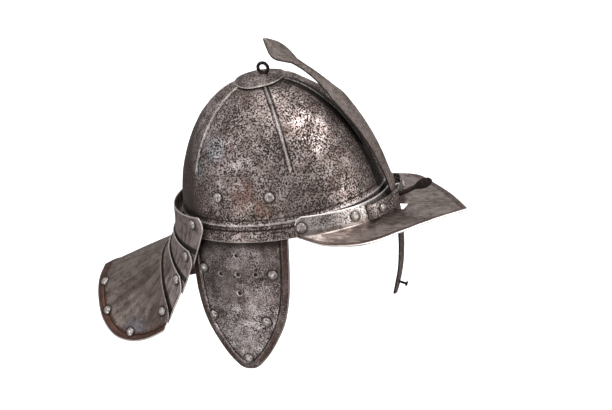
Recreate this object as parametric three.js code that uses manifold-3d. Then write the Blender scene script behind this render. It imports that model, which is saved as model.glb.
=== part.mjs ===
// Lobster-tail helmet: a ribbed steel skull with a pointed peak, a sliding nasal bar held by a
// bracket and a wing screw, three neck lames with a flared tail plate, and the right cheek piece.
// Millimetres. +X is the wearer's front, +Y the left side, +Z up, origin at the head opening.
import * as THREE from 'three';
import { mergeVertices } from 'three/addons/utils/BufferGeometryUtils.js';
import Module from 'manifold-3d';

const wasm = await Module();
wasm.setup();

// Fits
const touchGap = 0.3;
const holeGap = 0.25;
const holeSides = 6;

// Skull
const skullHalfLength = 105;
const skullHalfWidth = 89.5;
const skullHeight = 138.5;
const skullWall = 1.6;
const rimFlare = 4.8;
const rimBandHeight = 17;
const ribHeight = 1.5;
const ribHalfWidth = 2.6;
const ribFootHeight = 57;
const capRadius = 25;
const capWall = 1.3;
const capGap = 0.45;

// Hanging eye
const eyeRadius = 5.25;
const eyeWire = 1.7;
const eyeX = 5.5;
const eyeStem = 2.2;
const eyeFlange = 1.2;
const eyeClenchGap = 1.7;

// Peak
const peakSpread = 66.5;
const peakWall = 1.5;
const peakFlangeHeight = 19;
const peakFlangeLean = 2.1;
const peakSeat = 0.8;
const peakReach = 78.1;
const peakSideProud = 0.5;
const peakPitch = 0.13;
const peakLevelX = 70;
const peakCreaseDrop = 1.5;
const peakTipDrop = 15;
const peakTurnedEdge = 0.7;
const slotLength = 13.5;
const slotHalfWidth = 8.5;
const slotGap = 0.8;

// Nasal bar, an arc in the middle plane
const barArcRadius = 211;
const barArcZ = -9.8;
const barStandoff = 3.8;
const barLowAngle = -25.5;
const barHighAngle = 60.5;
const barThickness = 3;
const barLeafHalfWidth = 16.5;
const stopPinAngle = -22;
const stopPinRadius = 1.2;
const stopPinLength = 8;
const stopHeadRadius = 2.8;
const stopHeadThickness = 1.6;
const stopTail = 1;

// Bracket over the bar
const bracketHalfSpan = 40.5;
const bracketHeight = 16;
const bracketBottomZ = -4.5;
const bracketThickness = 2.6;
const bracketBarGap = 1.1;
const bracketProud = 3.2;
const bracketFootWidth = 3.4;
const bracketRivetShare = 0.7407;
const bracketRivetHead = 4.2;
const bracketRivetGrip = 15;

// Wing screw
const screwRadius = 2.1;
const screwThreadDepth = 0.35;
const screwPitch = 1.9;
const screwShaftLength = 18.5;
const screwTilt = 20;
const screwZ = 5;
const wingLength = 20;
const wingHalfHeight = 5;
const wingThickness = 2.2;
const wingRoot = 2;
const screwPress = 0.2;
const screwPlain = 2;

// Neck lames and tail plate
const lameWall = 1.4;
const lameTuck = 0.5;
const lameProud = 3.2;
const lameCornerCut = 0.1;
const lameRivetShare = 0.9;
const lameRivetDown = 0.16;
const lameRivetHead = 4.6;
const lameRivetGrip = 5;
const neckDropPower = 2.2;
const neckProud = 3.7;
const neckDepth = 112;
const tailWall = 1.5;
const tailTurnedEdge = 0.9;
const tailReach = 81;
const tailInset = 2;
const tailCornerCut = 0.06;
const tailRivetHead = 4.4;
const tailDrop = 72;

// Cheek piece
const cheekTopZ = -2;
const cheekLength = 143;
const cheekHalfWidth = 54.5;
const cheekNeckSpace = 31.7;
const cheekLean = 21;
const cheekInset = 4;
const cheekBowX = 8;
const cheekBowRadius = 250;
const cheekTuck = 7;
const cheekWall = 1.5;
const cheekBorder = 0.8;
const hearingHole = 1.75;
const hearingSpacing = 20.5;
const hearingDown = 0.26;
const hearingAcross = -0.05;
const hangerWall = 2;
const hangerTopZ = 53;
const hangerBottomZ = -62;
const hangerTopHalf = 38;
const hangerBottomHalf = 48;
const hangerAhead = 16;
const hangerSetBack = 9;
const hangerBendZ = -1;
const hangerBendHeight = 26;
const hangerGap = 0.45;
const hangerSkullGap = 0.75;

// Rivets
const rivetShank = 1.9;
const rivetHead = 5;
const rivetHeadHeight = 2.6;
const rivetLift = 0.35;
const rivetEnd = 1;
const rivetSides = 7;

const darkIron = { color: 0x3a302b, roughness: 0.62, metalness: 0.85 };
const pittedSteel = { color: 0x6d645f, roughness: 0.5, metalness: 0.9 };
const paleSteel = { color: 0x8b827d, roughness: 0.42, metalness: 0.92 };
const brownSteel = { color: 0x5b4a40, roughness: 0.58, metalness: 0.85 };
const rivetSteel = { color: 0x9a8f88, roughness: 0.4, metalness: 0.9 };
const oldLeather = { color: 0x3b2a1f, roughness: 0.85, metalness: 0 };

const toRadians = (degrees) => (degrees * Math.PI) / 180;
const helmet = new THREE.Group();

// Reads a table of rows at a share from 0 to 1 of the first column, smoothly between its rows.
function readRow(rows, key, share, column) {
  let at = 0;
  while (at < rows.length - 2 && rows[at + 1][key] < share) at += 1;
  const low = rows[at];
  const high = rows[at + 1];
  const before = rows[Math.max(at - 1, 0)];
  const after = rows[Math.min(at + 2, rows.length - 1)];
  const span = high[key] - low[key];
  const step = (share - low[key]) / span;
  const slopeLow = ((high[column] - before[column]) / (high[key] - before[key] || span)) * span;
  const slopeHigh = ((after[column] - low[column]) / (after[key] - low[key] || span)) * span;
  const square = step * step;
  const cube = square * step;
  return (2 * cube - 3 * square + 1) * low[column]
    + (cube - 2 * square + step) * slopeLow
    + (3 * square - 2 * cube) * high[column]
    + (cube - square) * slopeHigh;
}

// Makes a closed body from rings of points, with a fan at each end round its middle point.
function ringBody(rings, firstPole, lastPole) {
  const count = rings[0].length;
  const points = [...rings.flat(), firstPole, lastPole];
  const faces = [];
  for (let row = 0; row < rings.length - 1; row += 1) {
    for (let side = 0; side < count; side += 1) {
      const next = (side + 1) % count;
      const a = row * count + side;
      const b = row * count + next;
      faces.push(a, b, a + count, b, b + count, a + count);
    }
  }
  const first = rings.length * count;
  const top = (rings.length - 1) * count;
  for (let side = 0; side < count; side += 1) {
    const next = (side + 1) % count;
    faces.push(first, next, side);
    faces.push(first + 1, top + side, top + next);
  }
  return bodyFrom(points, faces);
}

// Makes a closed sheet: the outer face from pointAt(u, v), the inner one a wall below it.
function sheetBody(pointAt, columns, rows, wallAt) {
  const outer = [];
  const inner = [];
  const small = 1e-3;
  for (const v of rows) {
    for (const u of columns) {
      const here = pointAt(u, v);
      const alongU = pointAt(u + small, v).sub(pointAt(u - small, v));
      const alongV = pointAt(u, v + small).sub(pointAt(u, v - small));
      const normal = alongU.cross(alongV).normalize();
      outer.push(here);
      inner.push(here.clone().addScaledVector(normal, -wallAt(u, v)));
    }
  }
  const width = columns.length;
  const height = rows.length;
  const shift = outer.length;
  const faces = [];
  for (let j = 0; j < height - 1; j += 1) {
    for (let i = 0; i < width - 1; i += 1) {
      const a = j * width + i;
      const b = a + 1;
      const c = a + width;
      const d = c + 1;
      faces.push(a, b, d, a, d, c);
      faces.push(shift + a, shift + d, shift + b, shift + a, shift + c, shift + d);
    }
  }
  const edge = [];
  for (let i = 0; i < width - 1; i += 1) edge.push(i);
  for (let j = 0; j < height - 1; j += 1) edge.push(j * width + width - 1);
  for (let i = width - 1; i > 0; i -= 1) edge.push((height - 1) * width + i);
  for (let j = height - 1; j > 0; j -= 1) edge.push(j * width);
  edge.forEach((a, at) => {
    const b = edge[(at + 1) % edge.length];
    faces.push(a, shift + a, shift + b, a, shift + b, b);
  });
  return bodyFrom([...outer, ...inner], faces);
}

function bodyFrom(points, faces) {
  const geometry = new THREE.BufferGeometry();
  const numbers = points.flatMap((point) => [point.x, point.y, point.z]);
  geometry.setAttribute('position', new THREE.Float32BufferAttribute(numbers, 3));
  geometry.setIndex(faces);
  return solidFrom(geometry);
}

function solidFrom(geometry) {
  geometry.deleteAttribute('normal');
  geometry.deleteAttribute('uv');
  const merged = mergeVertices(geometry, 1e-4);
  return new wasm.Manifold(new wasm.Mesh({
    numProp: 3,
    vertProperties: new Float32Array(merged.attributes.position.array),
    triVerts: new Uint32Array(merged.index.array),
  }));
}

function addPiece(name, solid, finish) {
  const mesh = solid.getMesh();
  const geometry = new THREE.BufferGeometry();
  geometry.setAttribute('position', new THREE.BufferAttribute(mesh.vertProperties, 3));
  geometry.setIndex(new THREE.BufferAttribute(mesh.triVerts, 1));
  geometry.computeVertexNormals();
  const piece = new THREE.Mesh(geometry, new THREE.MeshStandardMaterial(finish));
  piece.name = name;
  helmet.add(piece);
}

// Turns a body made along +Y so that it runs along an axis, and puts it at a point.
function standAt(geometry, point, axis) {
  const turn = new THREE.Quaternion().setFromUnitVectors(new THREE.Vector3(0, 1, 0), axis);
  geometry.applyQuaternion(turn);
  geometry.translate(point.x, point.y, point.z);
  return geometry;
}

// A seat is a point on an outer face with the direction that points out of it.
function seatOn(pointAt, u, v) {
  const small = 1e-3;
  const alongU = pointAt(u + small, v).sub(pointAt(u - small, v));
  const alongV = pointAt(u, v + small).sub(pointAt(u, v - small));
  return { point: pointAt(u, v), normal: alongU.cross(alongV).normalize() };
}

function seatHole(seat, radius, depth) {
  const corner = radius / Math.cos(Math.PI / holeSides);
  const hole = new THREE.CylinderGeometry(corner, corner, depth * 2, holeSides);
  return solidFrom(standAt(hole, seat.point, seat.normal));
}

function rivetBody(seat, headRadius, grip, lift) {
  const headHeight = (rivetHeadHeight * headRadius) / rivetHead;
  const profile = [
    [0, -grip], [rivetShank, -grip], [rivetShank, lift], [headRadius, lift],
    [headRadius * 0.78, lift + headHeight * 0.62], [0, lift + headHeight],
  ];
  return turnedSolid(profile, rivetSides, seat);
}

// Turns a profile of [radius, height] pairs round a seat's direction.
function turnedSolid(profile, sides, seat) {
  const lathe = new THREE.LatheGeometry(profile.map(([r, y]) => new THREE.Vector2(r, y)), sides);
  return solidFrom(standAt(lathe, seat.point, seat.normal));
}

// Skull

const ribRows = [
  { angle: 0 }, { angle: 62 }, { angle: 131 }, { angle: 180 }, { angle: 229 }, { angle: 298 },
];
const ribColumnAngle = 11;
const ribFadeHeight = 12;

// The rim band: shares of the band's height and of the flare.
const bandRows = [
  { up: 0, proud: 1 },
  { up: 0.4, proud: 0.68 },
  { up: 0.72, proud: 0.4 },
  { up: 0.85, proud: 0.66 },
  { up: 1, proud: 0.12 },
];

function bandProud(height) {
  const up = height / rimBandHeight;
  if (up >= 1) return Math.max(0, 0.12 * rimFlare * (1 - (up - 1) * 3));
  let at = 0;
  while (at < bandRows.length - 2 && bandRows[at + 1].up < up) at += 1;
  const low = bandRows[at];
  const high = bandRows[at + 1];
  const step = (up - low.up) / (high.up - low.up);
  return rimFlare * (low.proud + (high.proud - low.proud) * step);
}

// A point of the skull at an angle round it and a height, with a distance outwards.
function skullPoint(angle, height, out) {
  const fullHeight = skullHeight + out;
  const level = Math.sqrt(Math.max(0, 1 - (height / fullHeight) ** 2));
  const flare = bandProud(height);
  const x = ((skullHalfLength + out) * level + flare) * Math.cos(toRadians(angle));
  const y = ((skullHalfWidth + out) * level + flare) * Math.sin(toRadians(angle));
  return new THREE.Vector3(x, y, height);
}

const capEdgeHeight = skullHeight * Math.sqrt(1 - (capRadius / skullHalfWidth) ** 2);

function skullAngles() {
  const angles = [];
  const ribTurn = (ribHalfWidth / skullHalfWidth) * (180 / Math.PI) * 1.2;
  ribRows.forEach((rib, at) => {
    const next = at + 1 < ribRows.length ? ribRows[at + 1].angle : 360;
    const from = rib.angle + ribTurn;
    const to = next - ribTurn;
    const steps = Math.round((to - from) / ribColumnAngle);
    angles.push({ angle: rib.angle, rib: 1 });
    for (let step = 0; step <= steps; step += 1) {
      angles.push({ angle: from + ((to - from) * step) / steps, rib: 0 });
    }
  });
  return angles;
}

function buildSkull() {
  const angles = skullAngles();
  const bandHeights = bandRows.map((row) => row.up * rimBandHeight);
  const domeHeights = [];
  const domeSteps = 8;
  for (let step = 1; step < domeSteps; step += 1) {
    const slope = toRadians(8 + (80 * step) / domeSteps);
    domeHeights.push(skullHeight * Math.sin(slope));
  }
  const heights = [...bandHeights, ...domeHeights];
  const outerRing = (height) => angles.map(({ angle, rib }) => {
    const fade = Math.min(1, Math.max(0, (height - ribFootHeight) / ribFadeHeight));
    const end = height > capEdgeHeight - 2 ? 0 : 1;
    return skullPoint(angle, height, rib * ribHeight * fade * end);
  });
  const innerShare = (skullHeight - skullWall) / skullHeight;
  const innerRing = (height) => angles.map(({ angle }) => (
    skullPoint(angle, height * innerShare, -skullWall)
  ));
  const rings = [...heights.slice().reverse().map(innerRing), ...heights.map(outerRing)];
  const innerTop = new THREE.Vector3(0, 0, skullHeight - skullWall);
  const outerTop = new THREE.Vector3(0, 0, skullHeight);
  return ringBody(rings, innerTop, outerTop);
}

// Crown cap with the hanging eye on it

function buildCap() {
  const turns = Array.from({ length: 20 }, (_, at) => at * 18);
  const shares = [0.35, 0.7, 1];
  const ring = (share, out) => turns.map((angle) => {
    const radius = capRadius * share;
    const x = radius * Math.cos(toRadians(angle));
    const y = radius * Math.sin(toRadians(angle));
    const level = 1 - (x / skullHalfLength) ** 2 - (y / skullHalfWidth) ** 2;
    return new THREE.Vector3(x, y, (skullHeight + out) * Math.sqrt(level));
  });
  const high = capGap + capWall;
  const rings = [
    ...shares.map((share) => ring(share, capGap)),
    ...shares.slice().reverse().map((share) => ring(share, high)),
  ];
  const lowPole = new THREE.Vector3(0, 0, skullHeight + capGap);
  const highPole = new THREE.Vector3(0, 0, skullHeight + high);
  return ringBody(rings, lowPole, highPole);
}

const eyeFootZ = skullHeight + capGap + capWall;
const eyeSeat = { point: new THREE.Vector3(eyeX, 0, 0), normal: new THREE.Vector3(0, 0, 1) };

// A ring on a stem that goes through the crown, with a flange above and a clenched end below.
function buildEye() {
  const ringZ = eyeFootZ + eyeRadius + eyeWire * 0.7;
  const ring = new THREE.TorusGeometry(eyeRadius, eyeWire, 6, 12);
  ring.rotateX(Math.PI / 2);
  ring.translate(eyeX, 0, ringZ);
  const flangeFoot = eyeFootZ + touchGap;
  const clenchTop = skullHeight - skullWall - eyeClenchGap;
  const clenchFoot = clenchTop - eyeFlange;
  const stem = turnedSolid([
    [0, clenchFoot], [eyeStem + eyeFlange, clenchFoot], [eyeStem + eyeFlange * 1.6, clenchTop],
    [eyeStem, clenchTop], [eyeStem, flangeFoot], [eyeStem + eyeFlange * 2, flangeFoot],
    [eyeStem + eyeFlange, flangeFoot + eyeFlange], [eyeStem, flangeFoot + eyeFlange],
    [eyeStem, ringZ - eyeRadius], [0, ringZ - eyeRadius],
  ], 10, eyeSeat);
  return solidFrom(ring).add(stem);
}

function eyeHole() {
  const radius = eyeStem + holeGap;
  const low = skullHeight - skullWall * 3;
  const high = eyeFootZ + capWall * 2;
  return turnedSolid([[0, low], [radius, low], [radius, high], [0, high]], 10, eyeSeat);
}

// Peak

// The outline of the brim from the tip to its back corner, as shares of the tip's reach from the
// helmet's centre, the half width and the tip's drop.
const brimRows = [
  { along: 0, forward: 1, aside: 0, drop: 1 },
  { along: 0.1, forward: 0.923, aside: 0.197, drop: 0.85 },
  { along: 0.21, forward: 0.851, aside: 0.381, drop: 0.78 },
  { along: 0.32, forward: 0.778, aside: 0.551, drop: 0.77 },
  { along: 0.43, forward: 0.709, aside: 0.7, drop: 0.77 },
  { along: 0.55, forward: 0.64, aside: 0.855, drop: 0.77 },
  { along: 0.66, forward: 0.567, aside: 0.965, drop: 0.73 },
  { along: 0.76, forward: 0.474, aside: 1, drop: 0.68 },
  { along: 0.88, forward: 0.367, aside: 0.99, drop: 0.58 },
  { along: 1, forward: 0.246, aside: 0.985, drop: 0.05 },
];

const peakClear = rimFlare + touchGap + peakWall + peakSeat;
const peakNoseX = skullHalfLength + peakClear;
const peakSideY = skullHalfWidth + peakClear;
const peakTipX = peakNoseX + peakReach;
const peakHalfWidth = skullHalfWidth + peakSideProud;

function creaseZ(x) {
  return -peakPitch * (x - peakLevelX) - peakCreaseDrop;
}

function peakRing(turn, lean) {
  const angle = toRadians(turn * peakSpread);
  return new THREE.Vector3(
    (peakNoseX - lean) * Math.cos(angle), -(peakSideY - lean) * Math.sin(angle), 0,
  );
}

// u runs from the left end to the right end, v from the flange's top over the crease to the edge.
function peakPoint(u, v) {
  const along = Math.min(1.02, Math.abs(u));
  const side = u < 0 ? 1 : -1;
  const crease = peakRing(u, 0);
  crease.z = creaseZ(crease.x);
  if (v <= 0.5) {
    const up = 1 - v / 0.5;
    const round = Math.max(0, along - 0.93) / 0.07;
    const height = peakFlangeHeight * (1 - 0.35 * round * round);
    const point = peakRing(u, peakFlangeLean * up);
    point.z = crease.z + height * up;
    return point;
  }
  const out = (v - 0.5) / 0.5;
  const edge = new THREE.Vector3(
    peakTipX * readRow(brimRows, 'along', along, 'forward'),
    side * peakHalfWidth * readRow(brimRows, 'along', along, 'aside'),
    -peakTipDrop * readRow(brimRows, 'along', along, 'drop'),
  );
  return crease.lerp(edge, out);
}

// The slot that the nasal bar goes through, close in front of the fold.
function barSlot() {
  const slot = new THREE.BoxGeometry(slotLength, slotHalfWidth * 2, peakTipDrop * 2);
  slot.translate(peakNoseX + slotGap + slotLength / 2, 0, creaseZ(peakNoseX));
  return solidFrom(slot);
}

function spreadShares(count) {
  return Array.from({ length: count + 1 }, (_, at) => (at / count) * 2 - 1);
}

function buildPeak() {
  const columns = spreadShares(26);
  const rows = [0, 0.3, 0.5, 0.56, 0.78, 0.93, 1];
  const wallAt = (u, v) => (v > 0.9 ? peakWall + peakTurnedEdge : peakWall);
  return sheetBody(peakPoint, columns, rows, wallAt);
}

const peakRivetRows = [
  { name: 'peak_rivet_right_end', share: 0.955, up: 0.45 },
  { name: 'peak_rivet_right', share: 0.495, up: 0.5 },
  { name: 'peak_rivet_left', share: -0.495, up: 0.5 },
  { name: 'peak_rivet_left_end', share: -0.955, up: 0.45 },
];

// Nasal bar

// Shares of the arc from the lower end, of the leaf's half width and, for the lift outwards, of the
// bar's thickness.
const barRows = [
  { along: 0, half: 0.3, lift: 0 },
  { along: 0.012, half: 0.39, lift: 0 },
  { along: 0.2, half: 0.4, lift: 0 },
  { along: 0.36, half: 0.4, lift: 0 },
  { along: 0.48, half: 0.5, lift: 0 },
  { along: 0.6, half: 0.66, lift: 0 },
  { along: 0.7, half: 0.76, lift: 0 },
  { along: 0.745, half: 0.56, lift: 0 },
  { along: 0.8, half: 0.4, lift: 0 },
  { along: 0.88, half: 0.36, lift: -0.167 },
  { along: 0.9, half: 0.62, lift: -0.333 },
  { along: 0.93, half: 0.96, lift: -0.5 },
  { along: 0.955, half: 0.9, lift: 0 },
  { along: 0.985, half: 0.4, lift: 1 },
  { along: 1, half: 0.05, lift: 1.5 },
];

const barArcX = peakNoseX + barStandoff + barThickness / 2 - barArcRadius;

function barPoint(angle, radius, y) {
  const turn = toRadians(angle);
  return new THREE.Vector3(barArcX + radius * Math.cos(turn), y, barArcZ + radius * Math.sin(turn));
}

const barInner = barArcRadius - barThickness / 2;
const barOuter = barArcRadius + barThickness / 2;

function buildBar() {
  const stations = [0, 0.012, 0.04, 0.07, 0.1, 0.14, 0.18, 0.22, 0.25, 0.28, 0.31, 0.34, 0.37, 0.4,
    0.43, 0.46, 0.5, 0.55, 0.6, 0.65, 0.7, 0.722, 0.745, 0.77, 0.8, 0.84, 0.88, 0.9, 0.915, 0.93,
    0.945, 0.96, 0.975, 0.988, 1];
  const rings = stations.map((along) => {
    const angle = barLowAngle + (barHighAngle - barLowAngle) * along;
    const half = barLeafHalfWidth * readRow(barRows, 'along', along, 'half');
    const lift = barThickness * readRow(barRows, 'along', along, 'lift');
    const bevel = barThickness * 0.3;
    return [
      barPoint(angle, barInner + lift, -half),
      barPoint(angle, barInner + lift, half),
      barPoint(angle, barOuter + lift - bevel, half),
      barPoint(angle, barOuter + lift, 0),
      barPoint(angle, barOuter + lift - bevel, -half),
    ].reverse();
  });
  const middle = (ring) => ring[0].clone().add(ring[1]).add(ring[3]).add(ring[4]).divideScalar(4);
  const solid = ringBody(rings, middle(rings[0]), middle(rings[rings.length - 1]));
  return solid.subtract(seatHole(pinSeat(), stopPinRadius + holeGap, barThickness * 2));
}

function pinSeat() {
  const point = barPoint(stopPinAngle, barInner, 0);
  const normal = barPoint(stopPinAngle, 1, 0).sub(barPoint(stopPinAngle, 0, 0)).normalize();
  return { point, normal };
}

function buildStopPin() {
  const reach = barThickness + stopPinLength;
  const neck = reach - stopHeadThickness;
  return turnedSolid([
    [0, -stopTail - touchGap], [stopPinRadius + stopTail, -stopTail - touchGap],
    [stopPinRadius + stopTail, -touchGap], [stopPinRadius, -touchGap], [stopPinRadius, neck],
    [stopHeadRadius, neck], [stopHeadRadius, reach], [0, reach],
  ], 10, pinSeat());
}

// Bracket

const barFrontX = barArcX + barOuter;
const bracketCrownX = barFrontX + bracketBarGap;

function flangeX(y) {
  return peakNoseX * Math.sqrt(1 - (y / peakSideY) ** 2);
}

const bracketEndX = flangeX(bracketHalfSpan) + bracketProud;
const bracketSag = bracketCrownX - bracketEndX;

function bracketLine(y, out) {
  return bracketCrownX + out - bracketSag * (y / bracketHalfSpan) ** 2;
}

function buildBracket() {
  const shape = new THREE.Shape();
  const spans = spreadShares(12);
  const footY = bracketHalfSpan - bracketFootWidth;
  spans.forEach((share, at) => {
    const y = share * bracketHalfSpan;
    const x = bracketLine(y, bracketThickness);
    if (at === 0) shape.moveTo(x, y);
    else shape.lineTo(x, y);
  });
  shape.lineTo(flangeX(bracketHalfSpan) + touchGap, bracketHalfSpan);
  shape.lineTo(flangeX(footY) + touchGap, footY);
  spans.slice().reverse().forEach((share) => {
    const y = share * footY;
    shape.lineTo(bracketLine(y, 0), y);
  });
  shape.lineTo(flangeX(footY) + touchGap, -footY);
  shape.lineTo(flangeX(bracketHalfSpan) + touchGap, -bracketHalfSpan);
  const plate = new THREE.ExtrudeGeometry(shape, { depth: bracketHeight, bevelEnabled: false });
  plate.translate(0, 0, bracketBottomZ);
  return solidFrom(plate);
}

function bracketSeat(side) {
  const y = side * bracketRivetShare * bracketHalfSpan;
  const slope = (2 * bracketSag * y) / bracketHalfSpan ** 2;
  const z = bracketBottomZ + bracketHeight / 2;
  return {
    point: new THREE.Vector3(bracketLine(y, bracketThickness), y, z),
    normal: new THREE.Vector3(1, slope, 0).normalize(),
  };
}

// Wing screw

const screwTurn = toRadians(screwTilt);
const screwSeat = {
  point: new THREE.Vector3(bracketCrownX + bracketThickness, 0, screwZ),
  normal: new THREE.Vector3(Math.cos(screwTurn), 0, Math.sin(screwTurn)),
};

// Half heights along the wing, as shares of its length and of its half height.
const wingRows = [
  { along: 0, half: 0.4 },
  { along: 0.15, half: 0.68 },
  { along: 0.35, half: 0.95 },
  { along: 0.6, half: 1 },
  { along: 0.85, half: 0.78 },
  { along: 1, half: 0.3 },
];

function buildWing() {
  const steps = 8;
  const corners = [];
  for (let step = 0; step <= steps; step += 1) {
    const along = step / steps;
    const half = wingHalfHeight * readRow(wingRows, 'along', along, 'half');
    corners.push(new THREE.Vector2(wingLength * along, half));
  }
  const mirrored = corners.map((corner) => new THREE.Vector2(corner.x, -corner.y));
  const outline = new THREE.Shape([...mirrored, ...corners.reverse()]);
  const plate = new THREE.ExtrudeGeometry(outline, { depth: wingThickness, bevelEnabled: false });
  plate.translate(screwShaftLength - wingRoot, 0, -wingThickness / 2);
  plate.rotateX(Math.PI / 2);
  plate.rotateZ(Math.PI / 2);
  plate.rotateY(-screwTurn);
  return solidFrom(standAt(plate, screwSeat.point, screwSeat.normal));
}

function buildScrew() {
  const inside = (bracketThickness + screwPress) / Math.cos(screwTurn);
  const profile = [[0, -inside], [screwRadius, -inside], [screwRadius, 0]];
  const turns = Math.floor((screwShaftLength - screwPlain * 2) / screwPitch);
  for (let turn = 0; turn < turns; turn += 1) {
    const at = screwPlain + turn * screwPitch;
    profile.push([screwRadius + screwThreadDepth, at], [screwRadius, at + screwPitch / 2]);
  }
  profile.push([screwRadius * 0.9, screwShaftLength], [0, screwShaftLength]);
  return turnedSolid(profile, 8, screwSeat).add(buildWing());
}

function screwHole() {
  const radius = screwRadius + screwThreadDepth + holeGap;
  const reach = bracketThickness * 2;
  return turnedSolid([[0, -reach], [radius, -reach], [radius, reach], [0, reach]], 12, screwSeat);
}

// Neck guard

// The line that each course of the neck guard starts from, at the middle of the back and at the
// sides: shares of the neck line's reach, of the skull's half width and of the guard's depth.
const neckRows = [
  { course: 0, backX: 1, backZ: 0.17, sideX: 0.43, sideY: 0.935, sideZ: 0.214 },
  { course: 1, backX: 1.058, backZ: -0.071, sideX: 0.635, sideY: 0.899, sideZ: -0.143 },
  { course: 2, backX: 1.141, backZ: -0.214, sideX: 0.819, sideY: 0.86, sideZ: -0.429 },
  { course: 3, backX: 1.233, backZ: -0.304, sideX: 1.021, sideY: 0.905, sideZ: -0.714 },
  { course: 4, backX: 1.343, backZ: -0.393, sideX: 1.233, sideY: 0.972, sideZ: -1 },
];

const neckReach = skullHalfLength + neckProud;

function neckPoint(u, course) {
  const backX = -neckReach * readRow(neckRows, 'course', course, 'backX');
  const backZ = neckDepth * readRow(neckRows, 'course', course, 'backZ');
  const sideX = -neckReach * readRow(neckRows, 'course', course, 'sideX');
  const sideY = skullHalfWidth * readRow(neckRows, 'course', course, 'sideY');
  const sideZ = neckDepth * readRow(neckRows, 'course', course, 'sideZ');
  const spread = Math.acos(sideX / backX);
  const turn = spread * u;
  const y = (sideY * Math.sin(turn)) / Math.sin(spread);
  const drop = Math.abs(u) ** neckDropPower;
  return new THREE.Vector3(backX * Math.cos(turn), y, backZ + (sideZ - backZ) * drop);
}

// u runs from the right side round the back to the left side, and courses run downwards.
function neckOffset(u, course, out) {
  const { point, normal } = seatOn(neckPoint, u, course);
  return point.addScaledVector(normal, out);
}

const lameRows = [
  { name: 'neck_lame_1', top: 0, bottom: 1.33 },
  { name: 'neck_lame_2', top: 1, bottom: 2.33 },
  { name: 'neck_lame_3', top: 2, bottom: 3.25 },
];

// A lame's top edge stands proud of the course above it, and its front corners are cut off.
function lamePoint(lame) {
  return (u, v) => {
    const corner = Math.max(0, 1 - v / 0.3);
    const wide = u * (1 - lameCornerCut * corner * corner);
    const course = lame.top + (lame.bottom - lame.top) * v;
    const out = lameWall + lameTuck + lameProud * (1 - v);
    return neckOffset(wide, course, out);
  };
}

function buildLame(lame) {
  return sheetBody(lamePoint(lame), spreadShares(20), [0, 0.15, 0.3, 1], () => lameWall);
}

// The tail plate's free edge, as shares of its reach, half width and drop.
const tailRows = [
  { along: 0, back: 1, aside: 0, drop: 0.306 },
  { along: 0.2, back: 0.974, aside: 0.25, drop: 0.375 },
  { along: 0.38, back: 0.908, aside: 0.5, drop: 0.53 },
  { along: 0.52, back: 0.8, aside: 0.71, drop: 0.76 },
  { along: 0.64, back: 0.62, aside: 0.846, drop: 0.944 },
  { along: 0.76, back: 0.355, aside: 0.937, drop: 1 },
  { along: 0.88, back: 0.09, aside: 0.989, drop: 0.944 },
  { along: 1, back: -0.15, aside: 1.02, drop: 0.83 },
];

const tailCourse = 3;
const tailOut = lameWall + lameTuck + lameProud;

function tailPoint(u, v) {
  const along = Math.min(1.02, Math.abs(u));
  const side = u < 0 ? -1 : 1;
  const corner = Math.max(0, 1 - v / 0.25);
  const neck = neckOffset(u * (1 - tailCornerCut * corner * corner), tailCourse, tailOut);
  const root = neckPoint(0, tailCourse);
  const halfWidth = skullHalfWidth - tailInset;
  const edge = new THREE.Vector3(
    root.x - tailReach * readRow(tailRows, 'along', along, 'back'),
    side * halfWidth * readRow(tailRows, 'along', along, 'aside'),
    root.z - tailDrop * readRow(tailRows, 'along', along, 'drop'),
  );
  return neck.lerp(edge, v);
}

function buildTail() {
  const rows = [0, 0.12, 0.35, 0.65, 0.88, 0.94, 1];
  const wallAt = (u, v) => (v > 0.9 ? tailWall + tailTurnedEdge : tailWall);
  return sheetBody(tailPoint, spreadShares(20), rows, wallAt);
}

// Rivets on each side of the tail plate. The first one joins it to the lame under it.
const tailRivetRows = [
  { share: 0.9, down: 0.24, under: lameWall },
  { share: 0.72, down: 0.86, under: 0 },
  { share: 0.5, down: 0.9, under: 0 },
  { share: 0.28, down: 0.9, under: 0 },
];

// Cheek piece

// Half widths down the piece, as shares of its length and of its half width.
const cheekRows = [
  { down: 0, half: 1 },
  { down: 0.23, half: 0.985 },
  { down: 0.43, half: 0.945 },
  { down: 0.62, half: 0.835 },
  { down: 0.75, half: 0.675 },
  { down: 0.88, half: 0.45 },
  { down: 0.98, half: 0.2 },
  { down: 1, half: 0.09 },
];

const cheekRivetRows = [
  { name: 'upper_rear', down: 0.215, across: -0.79, hanger: true },
  { name: 'upper_front', down: 0.265, across: 0.68, hanger: true },
  { name: 'lower_rear', down: 0.587, across: -0.77, hanger: false },
  { name: 'lower_front', down: 0.625, across: 0.56, hanger: false },
  { name: 'tip', down: 0.92, across: 0, hanger: false },
];

const cheekTopX = cheekNeckSpace + cheekHalfWidth - neckReach;

// How far out from the middle plane a point of the cheek piece lies.
function cheekReach(x, down, out) {
  const bow = (x - cheekBowX) ** 2 / (2 * cheekBowRadius);
  return skullHalfWidth - cheekInset + out - bow - cheekTuck * Math.max(0, down) ** 2;
}

// u runs from the rear edge to the front edge, v from the top edge down to the tip.
function cheekPoint(u, v) {
  const down = Math.min(1, Math.max(0, v));
  const half = cheekHalfWidth * readRow(cheekRows, 'down', down, 'half');
  const x = cheekTopX - cheekLean * v + u * half;
  const border = Math.abs(u) > 0.9 || v > 0.97 ? cheekBorder : 0;
  return new THREE.Vector3(x, -cheekReach(x, v, border), cheekTopZ - cheekLength * v);
}

function flipped(pointAt) {
  return (u, v) => pointAt(-u, v);
}

function cheekSeat(row) {
  return seatOn(flipped(cheekPoint), -row.across, row.down);
}

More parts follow.
